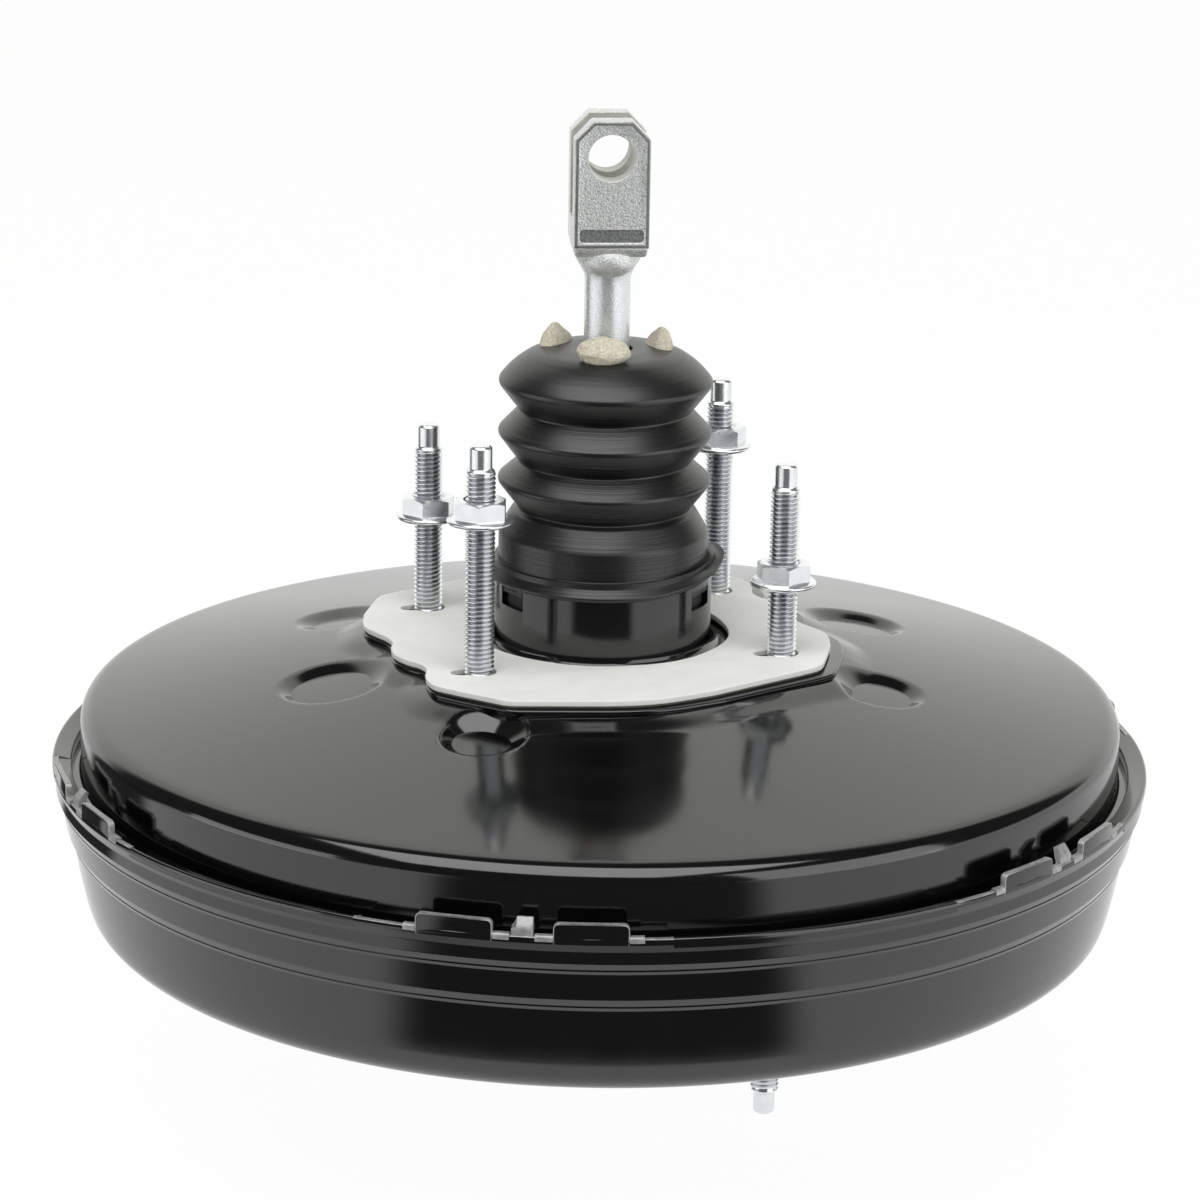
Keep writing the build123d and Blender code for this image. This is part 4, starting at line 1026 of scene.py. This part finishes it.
floorMesh = bpy.data.meshes.new("floor")
floorBm = bmesh.new()
bmesh.ops.create_grid(floorBm, x_segments=1, y_segments=1, size=stage["floorSize"] / 2)
bmesh.ops.translate(floorBm, vec=(0, 0, stage["floorHeight"] * mm), verts=floorBm.verts)
floorBm.to_mesh(floorMesh)
floorBm.free()
floor = addObject("floor", floorMesh)
# white to the camera; glossy surfaces see it dark in front of the part and far out behind its left
floorPaint, tree, shader = principled("floorPaint", Roughness=0.9)
shader.inputs["Base Color"].default_value = (0.86, 0.86, 0.86, 1)
place = addNode(tree, "ShaderNodeTexCoord").outputs["Object"]
reach = addNode(tree, "ShaderNodeVectorMath", operation="LENGTH")
tree.links.new(place, reach.inputs[0])
facing = directionMask(tree, place)
leftTurn = directionMask(tree, place, stage["darkLeft"])
inSlot = combine(tree, softStep(tree, facing, *stage["slotTurn"]),
                 softStep(tree, reach.outputs["Value"], *stage["slotReach"]))
atLeft = combine(tree, softStep(tree, leftTurn, *stage["leftTurn"]),
                 softStep(tree, reach.outputs["Value"], *stage["leftReach"]))
dark = combine(tree, inSlot, atLeft, "MAXIMUM")
rays = addNode(tree, "ShaderNodeLightPath")
hidden = combine(tree, dark, rays.outputs["Is Glossy Ray"])
strength = softStep(tree, hidden, 0.0, 1.0, stage["floorWhite"], stage["floorBlack"])
seen = combine(tree, rays.outputs["Is Camera Ray"], rays.outputs["Is Glossy Ray"], "MAXIMUM")
glow = addNode(tree, "ShaderNodeEmission")
mixer = addNode(tree, "ShaderNodeMixShader")
tree.links.new(strength, glow.inputs["Strength"])
tree.links.new(combine(tree, seen, stage["glowShare"]), mixer.inputs["Fac"])
wire(tree, (shader, "BSDF", mixer, 1), (glow, "Emission", mixer, 2),
     (mixer, "Shader", tree.nodes["Material Output"], "Surface"))
floorMesh.materials.append(floorPaint)

# the studio: white sweep behind and low at the right, a dim surround everywhere else
world = bpy.data.worlds.new("studio")
bpy.context.scene.world = world
world.use_nodes = True
tree = world.node_tree
surround = tree.nodes["Background"]
surround.inputs["Color"].default_value = (1, 1, 0.97, 1)
right = radians(stage["front"] + 90)
place = addNode(tree, "ShaderNodeTexCoord")
height = addNode(tree, "ShaderNodeSeparateXYZ")
side = addNode(tree, "ShaderNodeVectorMath", {1: (cos(right), sin(right), 0)}, operation="DOT_PRODUCT")
wire(tree, (place, "Generated", height, "Vector"), (place, "Generated", side, 0))
facing = directionMask(tree, place.outputs["Generated"])
behind = combine(tree, softStep(tree, facing, *stage["backTurn"]),
                 softStep(tree, height.outputs["Z"], *stage["backRise"]))
low = combine(tree, softStep(tree, facing, *stage["lowTurn"]),
              softStep(tree, height.outputs["Z"], *stage["lowRise"]))
lowRight = combine(tree, low, softStep(tree, side.outputs["Value"], *stage["lowSide"]))
bright = combine(tree, behind, lowRight, "MAXIMUM")
shade = softStep(tree, bright, 0.0, 1.0, stage["shade"], stage["backWhite"])
tree.links.new(shade, surround.inputs["Strength"])
white = addNode(tree, "ShaderNodeBackground", {"Color": (1, 1, 1, 1)})
rays = addNode(tree, "ShaderNodeLightPath")
mixer = addNode(tree, "ShaderNodeMixShader")
wire(tree, (rays, "Is Camera Ray", mixer, "Fac"), (surround, "Background", mixer, 1),
     (white, "Background", mixer, 2), (mixer, "Shader", tree.nodes["World Output"], "Surface"))

# softboxes by their aim (turn from the front, height angle), reach and size in metres, and radiance
softboxes = {
    "overhead": {"aim": (-15.0, 56.0), "reach": 1.60, "size": (1.80, 1.55), "radiance": 3.0, "flat": True},
    "leftBox": {"aim": (-73.0, -6.0), "reach": 1.80, "size": (1.25, 1.15), "radiance": 1.7, "flat": False},
    "rightBox": {"aim": (53.0, 17.0), "reach": 1.80, "size": (1.45, 1.30), "radiance": 1.9, "flat": False},
}
for name, settings in softboxes.items():
    around = radians(stage["front"] + settings["aim"][0])
    rise = radians(settings["aim"][1])
    towards = Vector((cos(around) * cos(rise), sin(around) * cos(rise), sin(rise)))
    light = bpy.data.lights.new(name, "AREA")
    light.shape = "RECTANGLE"
    light.size, light.size_y = settings["size"]
    light.energy = settings["radiance"] * pi * light.size * light.size_y
    lamp = addObject(name, light)
    lamp.location = towards * settings["reach"]
    if settings["flat"]:
        lamp.rotation_euler = (0, 0, around + pi / 2)
    else:
        lamp.rotation_euler = (-towards).to_track_quat("-Z", "Y").to_euler()

view = {"place": (-0.278891, -1.027843, 0.316861), "turn": (73.83845, -0.92235, -14.88096),
        "lens": 121.6355, "sensor": 36.0, "nearest": 0.01}
cameraData = bpy.data.cameras.new("camera")
cameraData.lens = view["lens"]
cameraData.sensor_width = view["sensor"]
cameraData.clip_start = view["nearest"]
camera = addObject("camera", cameraData)
camera.location = view["place"]
camera.rotation_euler = [radians(a) for a in view["turn"]]
bpy.context.scene.camera = camera
bpy.context.scene.view_settings.view_transform = "Standard"
print("stage ready")
